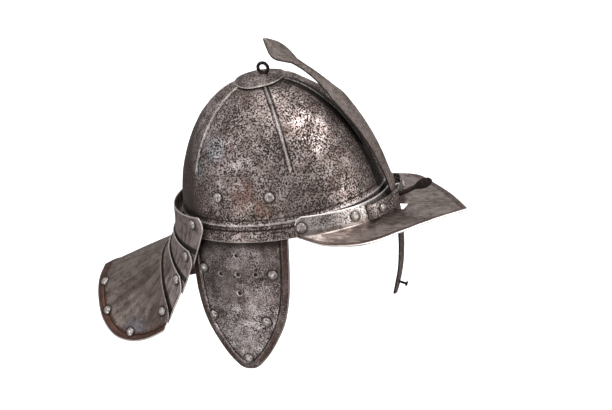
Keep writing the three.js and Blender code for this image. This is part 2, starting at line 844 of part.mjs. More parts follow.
function buildCheek() {
  const columns = [-1, -0.92, -0.87, -0.45, 0, 0.45, 0.87, 0.92, 1];
  const rows = [0, 0.16, 0.32, 0.47, 0.62, 0.73, 0.82, 0.9, 0.96, 0.98, 1];
  let plate = sheetBody(flipped(cheekPoint), columns, rows, () => cheekWall);
  const stepAcross = hearingSpacing / cheekHalfWidth;
  const stepDown = hearingSpacing / cheekLength;
  for (const [right, low] of [[0, 0], [-1, 0], [1, 0], [0, -1], [0, 1]]) {
    const seat = cheekSeat({
      across: hearingAcross + stepAcross * right, down: hearingDown + stepDown * low,
    });
    plate = plate.subtract(seatHole(seat, hearingHole, cheekWall * 2));
  }
  return plate;
}

// The leather follows the skull's inner face above the rim and the cheek piece below it.
function hangerReach(x, z) {
  const low = cheekReach(x, (cheekTopZ - z) / cheekLength, -cheekWall - hangerGap);
  const inside = -skullWall - hangerSkullGap;
  const level = Math.sqrt(1 - (z / (skullHeight + inside)) ** 2);
  const round = Math.sqrt(1 - (x / ((skullHalfLength + inside) * level)) ** 2);
  const high = (skullHalfWidth + inside) * level * round;
  const blend = Math.min(1, Math.max(0, (z - hangerBendZ) / hangerBendHeight));
  return low + (high - low) * blend;
}

function hangerPoint(u, v) {
  const z = hangerTopZ + (hangerBottomZ - hangerTopZ) * v;
  const half = hangerTopHalf + (hangerBottomHalf - hangerTopHalf) * v;
  const x = cheekTopX + hangerAhead - (hangerAhead + hangerSetBack) * v + u * half;
  return new THREE.Vector3(x, -hangerReach(x, z), z);
}

function buildHanger() {
  const columns = [-1, -0.5, 0, 0.5, 1];
  const bend = (hangerTopZ - hangerBendZ) / (hangerTopZ - hangerBottomZ);
  const fold = 1.03 * bend;
  const rows = [0, 0.37 * bend, 0.75 * bend, fold, (1 + fold) / 2, 1];
  return sheetBody(flipped(hangerPoint), columns, rows, () => hangerWall);
}

const skullRivetRows = [
  { name: 'rear', angle: 110.5, height: 43 },
  { name: 'front', angle: 77.5, height: 42 },
];

function skullSeat(side, row) {
  const pointAt = (u, v) => skullPoint(u * 90, v * 100, 0);
  return seatOn(pointAt, (side * row.angle) / 90, row.height / 100);
}

// Assembly

const plates = {
  skull: buildSkull().subtract(eyeHole()),
  peak: buildPeak().subtract(barSlot()),
  bracket: buildBracket().subtract(screwHole()),
  lames: lameRows.map(buildLame),
  tail: buildTail(),
  cheek: buildCheek(),
  hanger: buildHanger(),
};
const rivets = [];

// Cuts a rivet's hole through a plate.
function pierce(plate, seat, depth) {
  return plate.subtract(seatHole(seat, rivetShank + holeGap, depth));
}

function addRivet(name, seat, head, grip) {
  rivets.push({ name, solid: rivetBody(seat, head, grip + rivetEnd, rivetLift) });
}

function rivetPeak() {
  const grip = peakWall + skullWall + peakSeat + rivetEnd;
  for (const row of peakRivetRows) {
    const seat = seatOn(peakPoint, row.share, 0.5 * (1 - row.up));
    plates.peak = pierce(plates.peak, seat, rimFlare * 2);
    plates.skull = pierce(plates.skull, seat, rimFlare * 2);
    addRivet(row.name, seat, rivetHead, grip);
  }
}

function rivetBracket(side, name) {
  const seat = bracketSeat(side);
  plates.bracket = pierce(plates.bracket, seat, bracketThickness * 2);
  plates.peak = pierce(plates.peak, seat, bracketRivetGrip + rimFlare);
  plates.skull = pierce(plates.skull, seat, bracketRivetGrip + rimFlare);
  addRivet(`bracket_rivet_${name}`, seat, bracketRivetHead, bracketRivetGrip);
}

// Each side rivet joins a lame to the one above it, which lies under it.
function rivetNeck(side, name) {
  plates.lames.forEach((_, at) => {
    const share = side * lameRivetShare * (at === 0 ? 1 - lameCornerCut / 3 : 1);
    const seat = seatOn(lamePoint(lameRows[at]), share, lameRivetDown);
    const depth = lameRivetGrip * 2;
    plates.lames[at] = pierce(plates.lames[at], seat, depth);
    if (at === 0) plates.skull = pierce(plates.skull, seat, depth);
    else plates.lames[at - 1] = pierce(plates.lames[at - 1], seat, depth);
    const grip = at === 0 ? lameRivetGrip + skullWall : lameRivetGrip;
    addRivet(`lame_rivet_${at + 1}_${name}`, seat, lameRivetHead, grip);
  });
  tailRivetRows.forEach((row, at) => {
    const seat = seatOn(tailPoint, side * row.share, row.down);
    plates.tail = pierce(plates.tail, seat, lameRivetGrip * 1.6);
    if (row.under) plates.lames[2] = pierce(plates.lames[2], seat, lameRivetGrip * 1.6);
    const grip = row.under ? lameRivetGrip : tailWall + rivetEnd / 2;
    addRivet(`tail_rivet_${at + 1}_${name}`, seat, tailRivetHead, grip);
  });
}

function rivetCheek() {
  for (const row of cheekRivetRows) {
    const seat = cheekSeat(row);
    const under = row.hanger ? hangerWall : 0;
    plates.cheek = pierce(plates.cheek, seat, rivetHead * 2);
    if (row.hanger) plates.hanger = pierce(plates.hanger, seat, rivetHead * 2);
    addRivet(`cheek_rivet_${row.name}`, seat, rivetHead, cheekWall + under);
  }
}

function rivetSkull(side, name) {
  for (const row of skullRivetRows) {
    const seat = skullSeat(side, row);
    plates.skull = pierce(plates.skull, seat, rivetHead * 2);
    if (side < 0) plates.hanger = pierce(plates.hanger, seat, rivetHead * 2);
    addRivet(`skull_rivet_${row.name}_${name}`, seat, rivetHead, skullWall + hangerWall);
  }
}

rivetPeak();
for (const { side, name } of [{ side: -1, name: 'right' }, { side: 1, name: 'left' }]) {
  rivetBracket(side, name);
  rivetNeck(side, name);
  rivetSkull(side, name);
}
rivetCheek();

addPiece('skull', plates.skull, pittedSteel);
addPiece('crown_cap', buildCap().subtract(eyeHole()), brownSteel);
addPiece('hanging_eye', buildEye(), darkIron);
addPiece('peak', plates.peak, paleSteel);
addPiece('nasal_bracket', plates.bracket, pittedSteel);
addPiece('nasal_bar', buildBar(), brownSteel);
addPiece('stop_pin', buildStopPin(), darkIron);
addPiece('wing_screw', buildScrew(), darkIron);
plates.lames.forEach((lame, at) => addPiece(lameRows[at].name, lame, brownSteel));
addPiece('tail_plate', plates.tail, brownSteel);
addPiece('cheek_piece', plates.cheek, pittedSteel);
addPiece('cheek_hanger', plates.hanger, oldLeather);
rivets.forEach(({ name, solid }) => addPiece(name, solid, rivetSteel));

export default helmet;
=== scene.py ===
"""Dresses the lobster-tail helmet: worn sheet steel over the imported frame, floor, light and camera.

Shapes are worked out in millimetres, in the helmet's frame, and written to the meshes in metres.
+X is the wearer's front, +Y the left side and +Z up.
"""
import functools
import math

import bpy
from mathutils import Matrix, Vector, noise


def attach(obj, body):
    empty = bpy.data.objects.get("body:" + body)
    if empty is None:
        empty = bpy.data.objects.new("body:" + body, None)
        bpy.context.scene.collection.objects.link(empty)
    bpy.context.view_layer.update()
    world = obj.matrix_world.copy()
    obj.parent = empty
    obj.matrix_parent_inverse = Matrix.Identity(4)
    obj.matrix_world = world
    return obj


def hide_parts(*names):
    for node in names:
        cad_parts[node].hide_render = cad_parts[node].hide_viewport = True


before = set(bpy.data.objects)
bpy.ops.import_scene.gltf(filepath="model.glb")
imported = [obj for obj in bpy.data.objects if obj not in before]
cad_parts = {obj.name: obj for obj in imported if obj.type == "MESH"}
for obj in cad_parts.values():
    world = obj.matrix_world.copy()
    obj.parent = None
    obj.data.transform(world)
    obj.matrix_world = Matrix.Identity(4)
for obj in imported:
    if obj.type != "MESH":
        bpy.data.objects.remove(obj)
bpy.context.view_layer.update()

MM = 0.001
TOUCH_GAP = 0.3

# Skull
SKULL_HALF_LENGTH = 105
SKULL_HALF_WIDTH = 89.5
SKULL_HEIGHT = 138.5
SKULL_WALL = 1.6
RIM_FLARE = 4.8
RIM_BAND_HEIGHT = 17
RIB_HEIGHT = 1.5
RIB_HALF_WIDTH = 1.6
RIB_FOOT_HEIGHT = 57
RIB_ANGLES = (0, 62, 131, 180, 229, 298)
RIB_STEP = 0.45
RIB_STEPS = 10
PLAIN_STEP = 1.5
CAP_RADIUS = 25
CAP_WALL = 1.3
CAP_GAP = 0.45

# Hanging eye
EYE_RADIUS = 5.25
EYE_WIRE = 1.7
EYE_X = 5.5
EYE_STEM = 2.2
EYE_CLENCH = 2.9

# Peak
PEAK_SPREAD = 66.5
PEAK_WALL = 1.5
PEAK_SEAT = 0.8
PEAK_CLEAR = RIM_FLARE + PEAK_WALL + TOUCH_GAP + PEAK_SEAT
PEAK_FLANGE_HEIGHT = 19
PEAK_FLANGE_LEAN = 2.1
PEAK_END = 0.93
PEAK_END_CUT = 0.35
PEAK_TIP_X = 190.5
PEAK_HALF_WIDTH = 90
PEAK_PITCH = 0.13
PEAK_LEVEL_X = 70
PEAK_CREASE_DROP = 1.5
PEAK_TIP_DROP = 15
PEAK_BORDER = 5.2
# Where the fold lies between the flange's top and the brim's edge, and how far its rounding goes
FOLD = 0.5
FOLD_ABOVE = 0.07
FOLD_BELOW = 0.035
SLOT_LENGTH = 13.5
SLOT_HALF_WIDTH = 8.5
SLOT_GAP = 0.8
SLOT_LOW_Z = -23
SLOT_TOP_Z = 7

# Nasal bar, an arc in the middle plane
BAR_RADIUS = 211
BAR_X = -93.3
BAR_Z = -9.8
BAR_LOW_ANGLE = -25.5
BAR_HIGH_ANGLE = 60.5
BAR_THICKNESS = 3
BAR_LEAF_HALF_WIDTH = 16.5
PIN_ANGLE = -22
PIN_RADIUS = 1.2
PIN_LENGTH = 8
PIN_HEAD_RADIUS = 2.8

# Bracket over the bar
BRACKET_HALF_SPAN = 40.5
BRACKET_HEIGHT = 16
BRACKET_BOTTOM_Z = -4.5
BRACKET_THICKNESS = 2.6
BRACKET_BAR_GAP = 1.1
BRACKET_PROUD = 3.2
BRACKET_FOOT_WIDTH = 3.4
BRACKET_RIVET_Y = 30
BRACKET_INSET = 0.3

# Wing screw
SCREW_RADIUS = 2.1
THREAD_DEPTH = 0.35
THREAD_PITCH = 1.9
SCREW_LENGTH = 18.5
SCREW_TILT = 20
SCREW_Z = 5
WING_LENGTH = 20
WING_HALF_HEIGHT = 5
WING_THICKNESS = 2.2

# Neck lames and tail plate
LAME_WALL = 1.4
LAME_TUCK = 0.5
LAME_PROUD = 3.2
LAME_CORNER_CUT = 0.1
LAME_CORNER_HEIGHT = 0.3
LAME_RIVET_SHARE = 0.9
LAME_RIVET_DOWN = 0.16
NECK_REACH = SKULL_HALF_LENGTH + 3.7
NECK_DEPTH = 112
NECK_DROP_POWER = 2.2
TAIL_WALL = 1.5
TAIL_REACH = 81
TAIL_HALF_WIDTH = 87.5
TAIL_DROP = 72
TAIL_BORDER = 6.5
TAIL_COURSE = 3
TAIL_CORNER_CUT = 0.06
TAIL_CORNER_HEIGHT = 0.25

# Cheek piece
CHEEK_TOP_Z = -2
CHEEK_LENGTH = 143
CHEEK_HALF_WIDTH = 54.5
CHEEK_TOP_X = -22.5
CHEEK_LEAN = 21
CHEEK_PLANE_Y = 85.5
CHEEK_BOW_X = 8
CHEEK_BOW = 0.002
CHEEK_TUCK = 7
CHEEK_WALL = 1.5
CHEEK_BORDER = 7
HEARING_HOLE = 1.75
HEARING_SPACING = 20.5
HEARING_DOWN = 0.26
HEARING_ACROSS = -0.05
HEARING_DIMPLE = 9
HANGER_WALL = 2
HANGER_TOP_Z = 53
HANGER_BOTTOM_Z = -62
HANGER_TOP_HALF = 38
HANGER_BOTTOM_HALF = 48
HANGER_TOP_X = -6.5
HANGER_SET_BACK = 9
HANGER_BEND_Z = -1
HANGER_BEND_HEIGHT = 26
HANGER_GAP = 0.45
HANGER_SKULL_GAP = 0.75

# Rivets: where they sit on their pieces, as shares or degrees, and how far their shanks reach in
RIVET_SHANK = 1.9
RIVET_HEAD = 5
RIVET_HEIGHT = 2.6
BRACKET_RIVET_HEAD = 4.2
LAME_RIVET_HEAD = 4.6
TAIL_RIVET_HEAD = 4.4
BRACKET_GRIP = 15
LAME_GRIP = 5.5
PEAK_GRIP = 5
SKULL_GRIP = 4
PEAK_RIVETS = (
    {"name": "right_end", "along": 0.955, "up": 0.45},
    {"name": "right", "along": 0.495, "up": 0.5},
    {"name": "left", "along": -0.495, "up": 0.5},
    {"name": "left_end", "along": -0.955, "up": 0.45},
)
CHEEK_RIVETS = (
    {"name": "upper_rear", "down": 0.215, "across": 0.79, "grip": 4},
    {"name": "upper_front", "down": 0.265, "across": -0.68, "grip": 4},
    {"name": "lower_rear", "down": 0.587, "across": 0.77, "grip": 2},
    {"name": "lower_front", "down": 0.625, "across": -0.56, "grip": 2},
    {"name": "tip", "down": 0.92, "across": 0, "grip": 2},
)
TAIL_RIVETS = (
    {"along": 0.9, "down": 0.24, "grip": 5.5},
    {"along": 0.72, "down": 0.86, "grip": 2.6},
    {"along": 0.5, "down": 0.9, "grip": 2.6},
    {"along": 0.28, "down": 0.9, "grip": 2.6},
)
SKULL_RIVETS = (
    {"name": "rear", "angle": 110.5, "height": 43},
    {"name": "front", "angle": 77.5, "height": 42},
)

# Colours
STEEL_BRIGHT = (0.7, 0.62, 0.605)
STEEL_MIDDLE = (0.25, 0.2, 0.185)
STEEL_DARK = (0.085, 0.07, 0.064)
# Bluish colour of the painted sheen, a highlight laid into the steel's colour
PAINTED_SHEEN_BLUE = (0.37, 0.39, 0.43)
# Worn edges, and crests brightened as a painted highlight
EDGE_AND_HIGHLIGHT_BRIGHT = (0.86, 0.81, 0.79)
# Black of the pits, also used for painted shadow and shade
PIT_AND_SHADOW_BLACK = (0.016, 0.011, 0.009)
# Dirt, with painted shadow, round the rivets' feet
DIRT_AND_SHADOW = (0.025, 0.016, 0.013)
RUST = (0.19, 0.075, 0.04)
RUST_DARK = (0.07, 0.032, 0.022)
# Brown of the painted shade
PAINTED_SHADE_BROWN = (0.05, 0.034, 0.028)
SKULL_TONES = ((0.23, 0.172, 0.152), (0.66, 0.565, 0.54))
CHEEK_TONES = (STEEL_MIDDLE, (0.84, 0.77, 0.77))
FLANGE_TONES = ((0.3, 0.255, 0.24), (0.76, 0.7, 0.68))
BRIM_TONES = ((0.17, 0.13, 0.115), (0.42, 0.355, 0.33))
BRIM_STAIN = (0.075, 0.055, 0.047)
BRIM_RUST = (0.085, 0.045, 0.033)
BAR_TONES = ((0.46, 0.385, 0.355), (0.17, 0.13, 0.115), (0.07, 0.048, 0.04))
LAME_TONES = ((0.5, 0.42, 0.4), (0.15, 0.11, 0.1), (0.055, 0.038, 0.033))
TAIL_TONES = ((0.25, 0.2, 0.178), (0.115, 0.085, 0.073), (0.045, 0.03, 0.026))
IRON_TONES = ((0.012, 0.01, 0.01), (0.05, 0.04, 0.036))
IRON_WORN = (0.075, 0.03, 0.022)
RIVET_TONES = ((0.2, 0.17, 0.155), (0.68, 0.63, 0.61))
RIVET_NICK = (0.03, 0.022, 0.018)
LEATHER_TONES = ((0.045, 0.026, 0.017), (0.12, 0.07, 0.045))
LEATHER_CREASE = (0.02, 0.013, 0.01)

# How far from a free edge the finish still feels it
EDGE_REACH = 16
# How a sheet's free edge is rounded: how deep in the wall, and how far out, as shares of the wall
EDGE_ROUNDING = ((0.2, 0.3), (0.5, 0.42), (0.8, 0.3))

# Photograph: the frame, the pixel of the helmet's origin, the view and how far the helmet leans back
PHOTO_WIDTH = 612
PHOTO_HEIGHT = 410
ORIGIN_PIXEL = (287, 204.2)
VIEW_AZIMUTH = 20
VIEW_ELEVATION = 25
HELMET_LEAN = 12
CAMERA_LENS = 250
SENSOR_WIDTH = 36


class Table:
    """Rows of shares with named columns, read smoothly between the rows."""

    def __init__(self, names, rows):
        self.keys = [row[0] for row in rows]
        self.columns = {name: [row[at] for row in rows] for at, name in enumerate(names)}

    @functools.cache
    def read(self, share, name):
        keys = self.keys
        values = self.columns[name]
        at = 0
        while at < len(keys) - 2 and keys[at + 1] < share:
            at += 1
        before = max(at - 1, 0)
        after = min(at + 2, len(keys) - 1)
        span = keys[at + 1] - keys[at]
        step = (share - keys[at]) / span
        slope_low = (values[at + 1] - values[before]) / (keys[at + 1] - keys[before]) * span
        slope_high = (values[after] - values[at]) / (keys[after] - keys[at]) * span
        square = step * step
        cube = square * step
        return ((2 * cube - 3 * square + 1) * values[at] + (cube - 2 * square + step) * slope_low
                + (3 * square - 2 * cube) * values[at + 1] + (cube - square) * slope_high)


BRIM = Table(("along", "forward", "aside", "drop"), [
    (0, 1, 0, 1),
    (0.1, 0.923, 0.197, 0.85),
    (0.21, 0.851, 0.381, 0.78),
    (0.32, 0.778, 0.551, 0.77),
    (0.43, 0.709, 0.7, 0.77),
    (0.55, 0.64, 0.855, 0.77),
    (0.66, 0.567, 0.965, 0.73),
    (0.76, 0.474, 1, 0.68),
    (0.88, 0.367, 0.99, 0.58),
    (1, 0.246, 0.985, 0.05),
])
BAR = Table(("along", "half", "lift"), [
    (0, 0.3, 0),
    (0.012, 0.39, 0),
    (0.2, 0.4, 0),
    (0.36, 0.4, 0),
    (0.48, 0.5, 0),
    (0.6, 0.66, 0),
    (0.7, 0.76, 0),
    (0.745, 0.56, 0),
    (0.8, 0.4, 0),
    (0.88, 0.36, -0.167),
    (0.9, 0.62, -0.333),
    (0.93, 0.96, -0.5),
    (0.955, 0.9, 0),
    (0.985, 0.4, 1),
    (1, 0.05, 1.5),
])
NECK = Table(("course", "back_x", "back_z", "side_x", "side_y", "side_z"), [
    (0, 1, 0.17, 0.43, 0.935, 0.214),
    (1, 1.058, -0.071, 0.635, 0.899, -0.143),
    (2, 1.141, -0.214, 0.819, 0.86, -0.429),
    (3, 1.233, -0.304, 1.021, 0.905, -0.714),
    (4, 1.343, -0.393, 1.233, 0.972, -1),
])
LAMES = (
    {"node": "neck_lame_1", "top": 0, "bottom": 1.33},
    {"node": "neck_lame_2", "top": 1, "bottom": 2.33},
    {"node": "neck_lame_3", "top": 2, "bottom": 3.25},
)
TAIL = Table(("along", "back", "aside", "drop"), [
    (0, 1, 0, 0.306),
    (0.2, 0.974, 0.25, 0.375),
    (0.38, 0.908, 0.5, 0.53),
    (0.52, 0.8, 0.71, 0.76),
    (0.64, 0.62, 0.846, 0.944),
    (0.76, 0.355, 0.937, 1),
    (0.88, 0.09, 0.989, 0.944),
    (1, -0.15, 1.02, 0.83),
])
CHEEK = Table(("down", "half"), [
    (0, 1),
    (0.23, 0.985),
    (0.43, 0.945),
    (0.62, 0.835),
    (0.75, 0.675),
    (0.88, 0.45),
    (0.98, 0.2),
    (1, 0.09),
])


# Helpers for shapes

def clamp(value, low=0.0, high=1.0):
    return max(low, min(high, value))


def smooth(value):
    step = clamp(value)
    return step * step * (3 - 2 * step)


def spread(count, low=-1.0, high=1.0):
    return [low + (high - low) * at / count for at in range(count + 1)]


def ripple(point, size, depth):
    """A soft dent or swell of the given size and depth at a point."""
    return depth * noise.noise(point / size)


def normal_at(shape, u, v):
    small = 1e-3
    along_u = shape(u + small, v) - shape(u - small, v)
    along_v = shape(u, v + small) - shape(u, v - small)
    return along_u.cross(along_v).normalized()


def border(distance, width, height):
    """How far a turned edge stands proud at a distance from the edge."""
    share = distance / width
    lip = height * smooth((1.06 - share) / 0.22) * (1 - 0.35 * smooth(1 - share / 0.5))
    groove = 0.25 * height * math.exp(-((share - 1.16) / 0.1) ** 2)
    return lip - groove


def ring_faces(rings, count, first=0, round_again=False, open_sides=False):
    """Faces between rings of points. round_again joins the last ring to the first, and open_sides
    leaves the last point of each ring apart from its first."""
    faces = []
    for ring in range(rings if round_again else rings - 1):
        low = first + ring * count
        high = first + (ring + 1) % rings * count
        for side in range(count - 1 if open_sides else count):
            after = (side + 1) % count
            faces.append((low + side, low + after, high + after, high + side))
    return faces


def new_piece(name, points, faces):
    mesh = bpy.data.meshes.new(name)
    mesh.from_pydata([tuple(point * MM) for point in points], [], faces)
    mesh.validate()
    mesh.update()
    mesh.shade_smooth()
    piece = bpy.data.objects.new(name, mesh)
    bpy.context.scene.collection.objects.link(piece)
    return piece


def settle(piece):
    """Keeps the result of a piece's modifiers as its mesh."""
    graph = bpy.context.evaluated_depsgraph_get()
    old = piece.data
    piece.data = bpy.data.meshes.new_from_object(piece.evaluated_get(graph))
    piece.modifiers.clear()
    bpy.data.meshes.remove(old)


def combine(piece, other, how):
    """Joins or cuts a piece with another one, which is used up."""
    change = piece.modifiers.new(how.lower(), "BOOLEAN")
    change.operation = how
    change.solver = "EXACT"
    change.object = other
    settle(piece)
    bpy.data.objects.remove(other)


def crisp(piece, degrees=38):
    piece.data.shade_smooth()
    piece.data.set_sharp_from_angle(angle=math.radians(degrees))


def mark(piece, name, values):
    """Keeps a number for each point of a piece, which its finish reads."""
    marks = piece.data.attributes.new(name, "FLOAT", "POINT")
    marks.data.foreach_set("value", values)


def grid_edge(width, height, closed):
    """The points round a grid's free edge, and for each one the point next to it further in."""
    if closed:
        rim = list(range(width))
        return rim, [a + width for a in rim]
    rim = list(range(width - 1))
    rim += [j * width + width - 1 for j in range(height - 1)]
    rim += [(height - 1) * width + i for i in range(width - 1, 0, -1)]
    rim += [j * width for j in range(height - 1, 0, -1)]
    inside = [clamp(a // width, 1, height - 2) * width + clamp(a % width, 1, width - 2) for a in rim]
    return rim, inside


def sheet(name, shape, columns, rows, wall, dent=None, proud=None, relief_and_painted_light=None, edge=None,
          closed=False):
    """A sheet of metal with rounded edges: the outer face follows shape(u, v), dent moves both faces
    and proud only the outer one. relief gives each point of the outer face a number that its finish
    reads: how high the point stands in its pattern, or the painted shade or highlight a piece marks
    on it; edge says how far it is from a free edge. A closed sheet runs round in u and ends in a
    small lid at its top."""
    outer = []
    inner = []
    heights = []
    nearness = []
    across = []
    down = []
    relief_and_painted_light = relief_and_painted_light or proud
    for v in rows:
        for u in columns:
            across.append(u)
            down.append(v)
            point = shape(u, v)
            normal = normal_at(shape, u, v)
            moved = point + normal * (dent(point) if dent else 0)
            outer.append(moved + normal * (proud(u, v) if proud else 0))
            inner.append(moved - normal * wall)
            heights.append(relief_and_painted_light(u, v) if relief_and_painted_light else 0)
            nearness.append(clamp(1 - edge(u, v) / EDGE_REACH) if edge else 0)
    width = len(columns)
    height = len(rows)
    shift = len(outer)
    points = outer + inner
    faces = ring_faces(height, width, open_sides=not closed)
    faces += [tuple(shift + face[at] for at in (0, 3, 2, 1)) for face in faces]
    if closed:
        top = (height - 1) * width
        faces.append(tuple(top + i for i in range(width)))
        faces.append(tuple(shift + top + i for i in reversed(range(width))))
    rim, inside = grid_edge(width, height, closed)
    loops = [rim]
    for share, out in EDGE_ROUNDING:
        loops.append(range(len(points), len(points) + len(rim)))
        for a, b in zip(rim, inside):
            away = (outer[a] - outer[b]).normalized()
            thick = inner[a] - outer[a]
            points.append(outer[a] + thick * share + away * (out * thick.length))
    loops.append([shift + a for a in rim])
    for near, far in zip(loops, loops[1:]):
        for at in range(len(rim)):
            after = (at + 1) % len(rim)
            faces.append((near[at], far[at], far[after], near[after]))
    piece = new_piece(name, points, faces)
    rounding = rim * len(EDGE_ROUNDING)
    mark(piece, "relief_and_painted_light", heights + [0] * shift + [heights[a] for a in rounding])
    mark(piece, "near_edge", nearness * 2 + [1] * len(rounding))
    mark(piece, "across", across * 2 + [across[a] for a in rounding])
    mark(piece, "down", down * 2 + [down[a] for a in rounding])
    return piece


def seat_on(shape, u, v):
    """A seat is a point on an outer face with the direction out of it."""
    return shape(u, v), normal_at(shape, u, v)


def stand(piece, point, axis):
    """Turns a piece made along +Z to run along an axis, and puts it at a point."""
    turn = Vector((0, 0, 1)).rotation_difference(axis).to_matrix().to_4x4()
    piece.data.transform(Matrix.Translation(point * MM) @ turn)


def lathe(name, profile, sides, uneven=0.0, seed=0):
    """A turned solid along +Z from a profile of (radius, height) that starts and ends on the axis."""
    points = [Vector((0, 0, profile[0][1]))]
    for radius, height in profile[1:-1]:
        for side in range(sides):
            turn = 2 * math.pi * side / sides
            spot = Vector((math.cos(turn), math.sin(turn), height + seed))
            wide = radius * (1 + uneven * noise.noise(spot * 1.3))
            points.append(Vector((wide * math.cos(turn), wide * math.sin(turn), height)))
    points.append(Vector((0, 0, profile[-1][1])))
    rings = len(profile) - 2
    faces = ring_faces(rings, sides, first=1)
    top = 1 + (rings - 1) * sides
    for side in range(sides):
        after = (side + 1) % sides
        faces.append((0, 1 + after, 1 + side))
        faces.append((len(points) - 1, top + side, top + after))
    return new_piece(name, points, faces)


def ring_solid(name, rings):
    """A closed body from rings of points, with a lid at each end."""
    count = len(rings[0])
    points = [point for ring in rings for point in ring]
    faces = ring_faces(len(rings), count)
    faces.append(tuple(reversed(range(count))))
    faces.append(tuple(range(len(points) - count, len(points))))
    return new_piece(name, points, faces)


def box_solid(low, high):
    corners = [Vector((x, y, z)) for x in (low[0], high[0]) for y in (low[1], high[1])
               for z in (low[2], high[2])]
    faces = [(0, 1, 3, 2), (4, 6, 7, 5), (0, 4, 5, 1), (2, 3, 7, 6), (0, 2, 6, 4), (1, 5, 7, 3)]
    return new_piece("cutter", corners, faces)


def dress(piece, node, material, body="root"):
    """Gives a piece its finish, and lets it stand for a CAD node on a body."""
    piece.data.materials.clear()
    piece.data.materials.append(material)
    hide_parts(node)
    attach(piece, body)


# Skull

def band_proud(height):
    """The rim band: a raised bead over a band that flares to the rim."""
    up = height / RIM_BAND_HEIGHT
    flare = 0.36 * smooth(1.2 - up) + 0.64 * smooth(1 - up / 0.7)
    bead = 0.3 * math.exp(-((up - 0.9) / 0.11) ** 2)
    return RIM_FLARE * (flare + bead)


def skull_point(angle, height, out):
    level = math.sqrt(max(0.0, 1 - (height / (SKULL_HEIGHT + out)) ** 2))
    flare = band_proud(height)
    turn = math.radians(angle)
    x = ((SKULL_HALF_LENGTH + out) * level + flare) * math.cos(turn)
    y = ((SKULL_HALF_WIDTH + out) * level + flare) * math.sin(turn)
    return Vector((x, y, height))


def rib_out(angle, height):
    """A rib is a narrow ridge, chased between two faint grooves."""
    level = math.sqrt(max(0.0, 1 - (height / SKULL_HEIGHT) ** 2))
    turn = math.radians(angle)
    radius = math.hypot(SKULL_HALF_LENGTH * math.sin(turn), SKULL_HALF_WIDTH * math.cos(turn))
    out = 0.0
    for rib in RIB_ANGLES:
        away = abs((angle - rib + 180) % 360 - 180)
        distance = math.radians(away) * radius * level / RIB_HALF_WIDTH
        if distance < 4:
            out += RIB_HEIGHT * (math.exp(-(distance / 0.62) ** 2)
                                 - 0.22 * math.exp(-((distance - 1.5) / 0.5) ** 2))
    return out * smooth((height - RIB_FOOT_HEIGHT) / 9)


def skull_shape(u, v):
    """u is the turn round the skull in degrees, v the height as an angle up its side."""
    height = SKULL_HEIGHT * math.sin(math.radians(v))
    return skull_point(u, height, rib_out(u, height))


def skull_relief_and_painted_light(u, v):
    height = SKULL_HEIGHT * math.sin(math.radians(v))
    up = height / RIM_BAND_HEIGHT
    # The bead gets a bright line along its top as a painted highlight and a dark line below it as
    # painted shade, and foot a dark line just above the band; the ribs' crests are brightened, partly
    # as a painted highlight, and their grooves darkened
    bead = math.exp(-((up - 0.94) / 0.07) ** 2) - 0.4 * math.exp(-((up - 0.6) / 0.05) ** 2)
    foot = 0.3 * math.exp(-((up - 1.2) / 0.04) ** 2)
    return rib_out(u, height) + bead - foot


def skull_edge(u, v):
    return SKULL_HEIGHT * math.sin(math.radians(v))


def skull_dent(point):
    return ripple(point, 34, 0.7) + ripple(point, 11, 0.3) + ripple(point, 4.5, 0.1)


def skull_columns():
    """Turns in degrees, with finer steps beside each rib."""
    columns = []
    for at, rib in enumerate(RIB_ANGLES):
        after = RIB_ANGLES[at + 1] if at + 1 < len(RIB_ANGLES) else 360
        low = rib + RIB_STEP * RIB_STEPS
        high = after - RIB_STEP * RIB_STEPS
        columns += [rib + RIB_STEP * step for step in range(RIB_STEPS)]
        columns += spread(round((high - low) / PLAIN_STEP), low, high)[:-1]
        columns += [high + RIB_STEP * step for step in range(RIB_STEPS)]
    return columns


def build_skull():
    band = [math.degrees(math.asin(h / SKULL_HEIGHT)) for h in spread(24, 0, 20)]
    dome = spread(64, band[-1], 88.6)[1:]
    return sheet("skull_bowl", skull_shape, skull_columns(), band + dome, SKULL_WALL,
                 dent=skull_dent, relief_and_painted_light=skull_relief_and_painted_light, edge=skull_edge, closed=True)


def crown_shape(out):
    """The crown cap's surface: u turns round it in degrees, v goes out from its middle."""
    def shape(u, v):
        turn = math.radians(u)
        uneven = 1 + 0.025 * noise.noise(Vector((math.cos(turn), math.sin(turn), 3)) * 1.4)
        x = CAP_RADIUS * uneven * v * math.cos(turn)
        y = CAP_RADIUS * uneven * v * math.sin(turn)
        level = 1 - (x / SKULL_HALF_LENGTH) ** 2 - (y / SKULL_HALF_WIDTH) ** 2
        return Vector((x, y, (SKULL_HEIGHT + out) * math.sqrt(level)))
    return shape


def build_cap():
    columns = [3 * at for at in range(120)]
    rows = spread(28, 1, 0.03)
    return sheet("crown_cap_plate", crown_shape(CAP_GAP + CAP_WALL), columns, rows, CAP_WALL,
                 dent=lambda point: ripple(point, 9, 0.16),
                 edge=lambda u, v: CAP_RADIUS * (1 - v), closed=True)


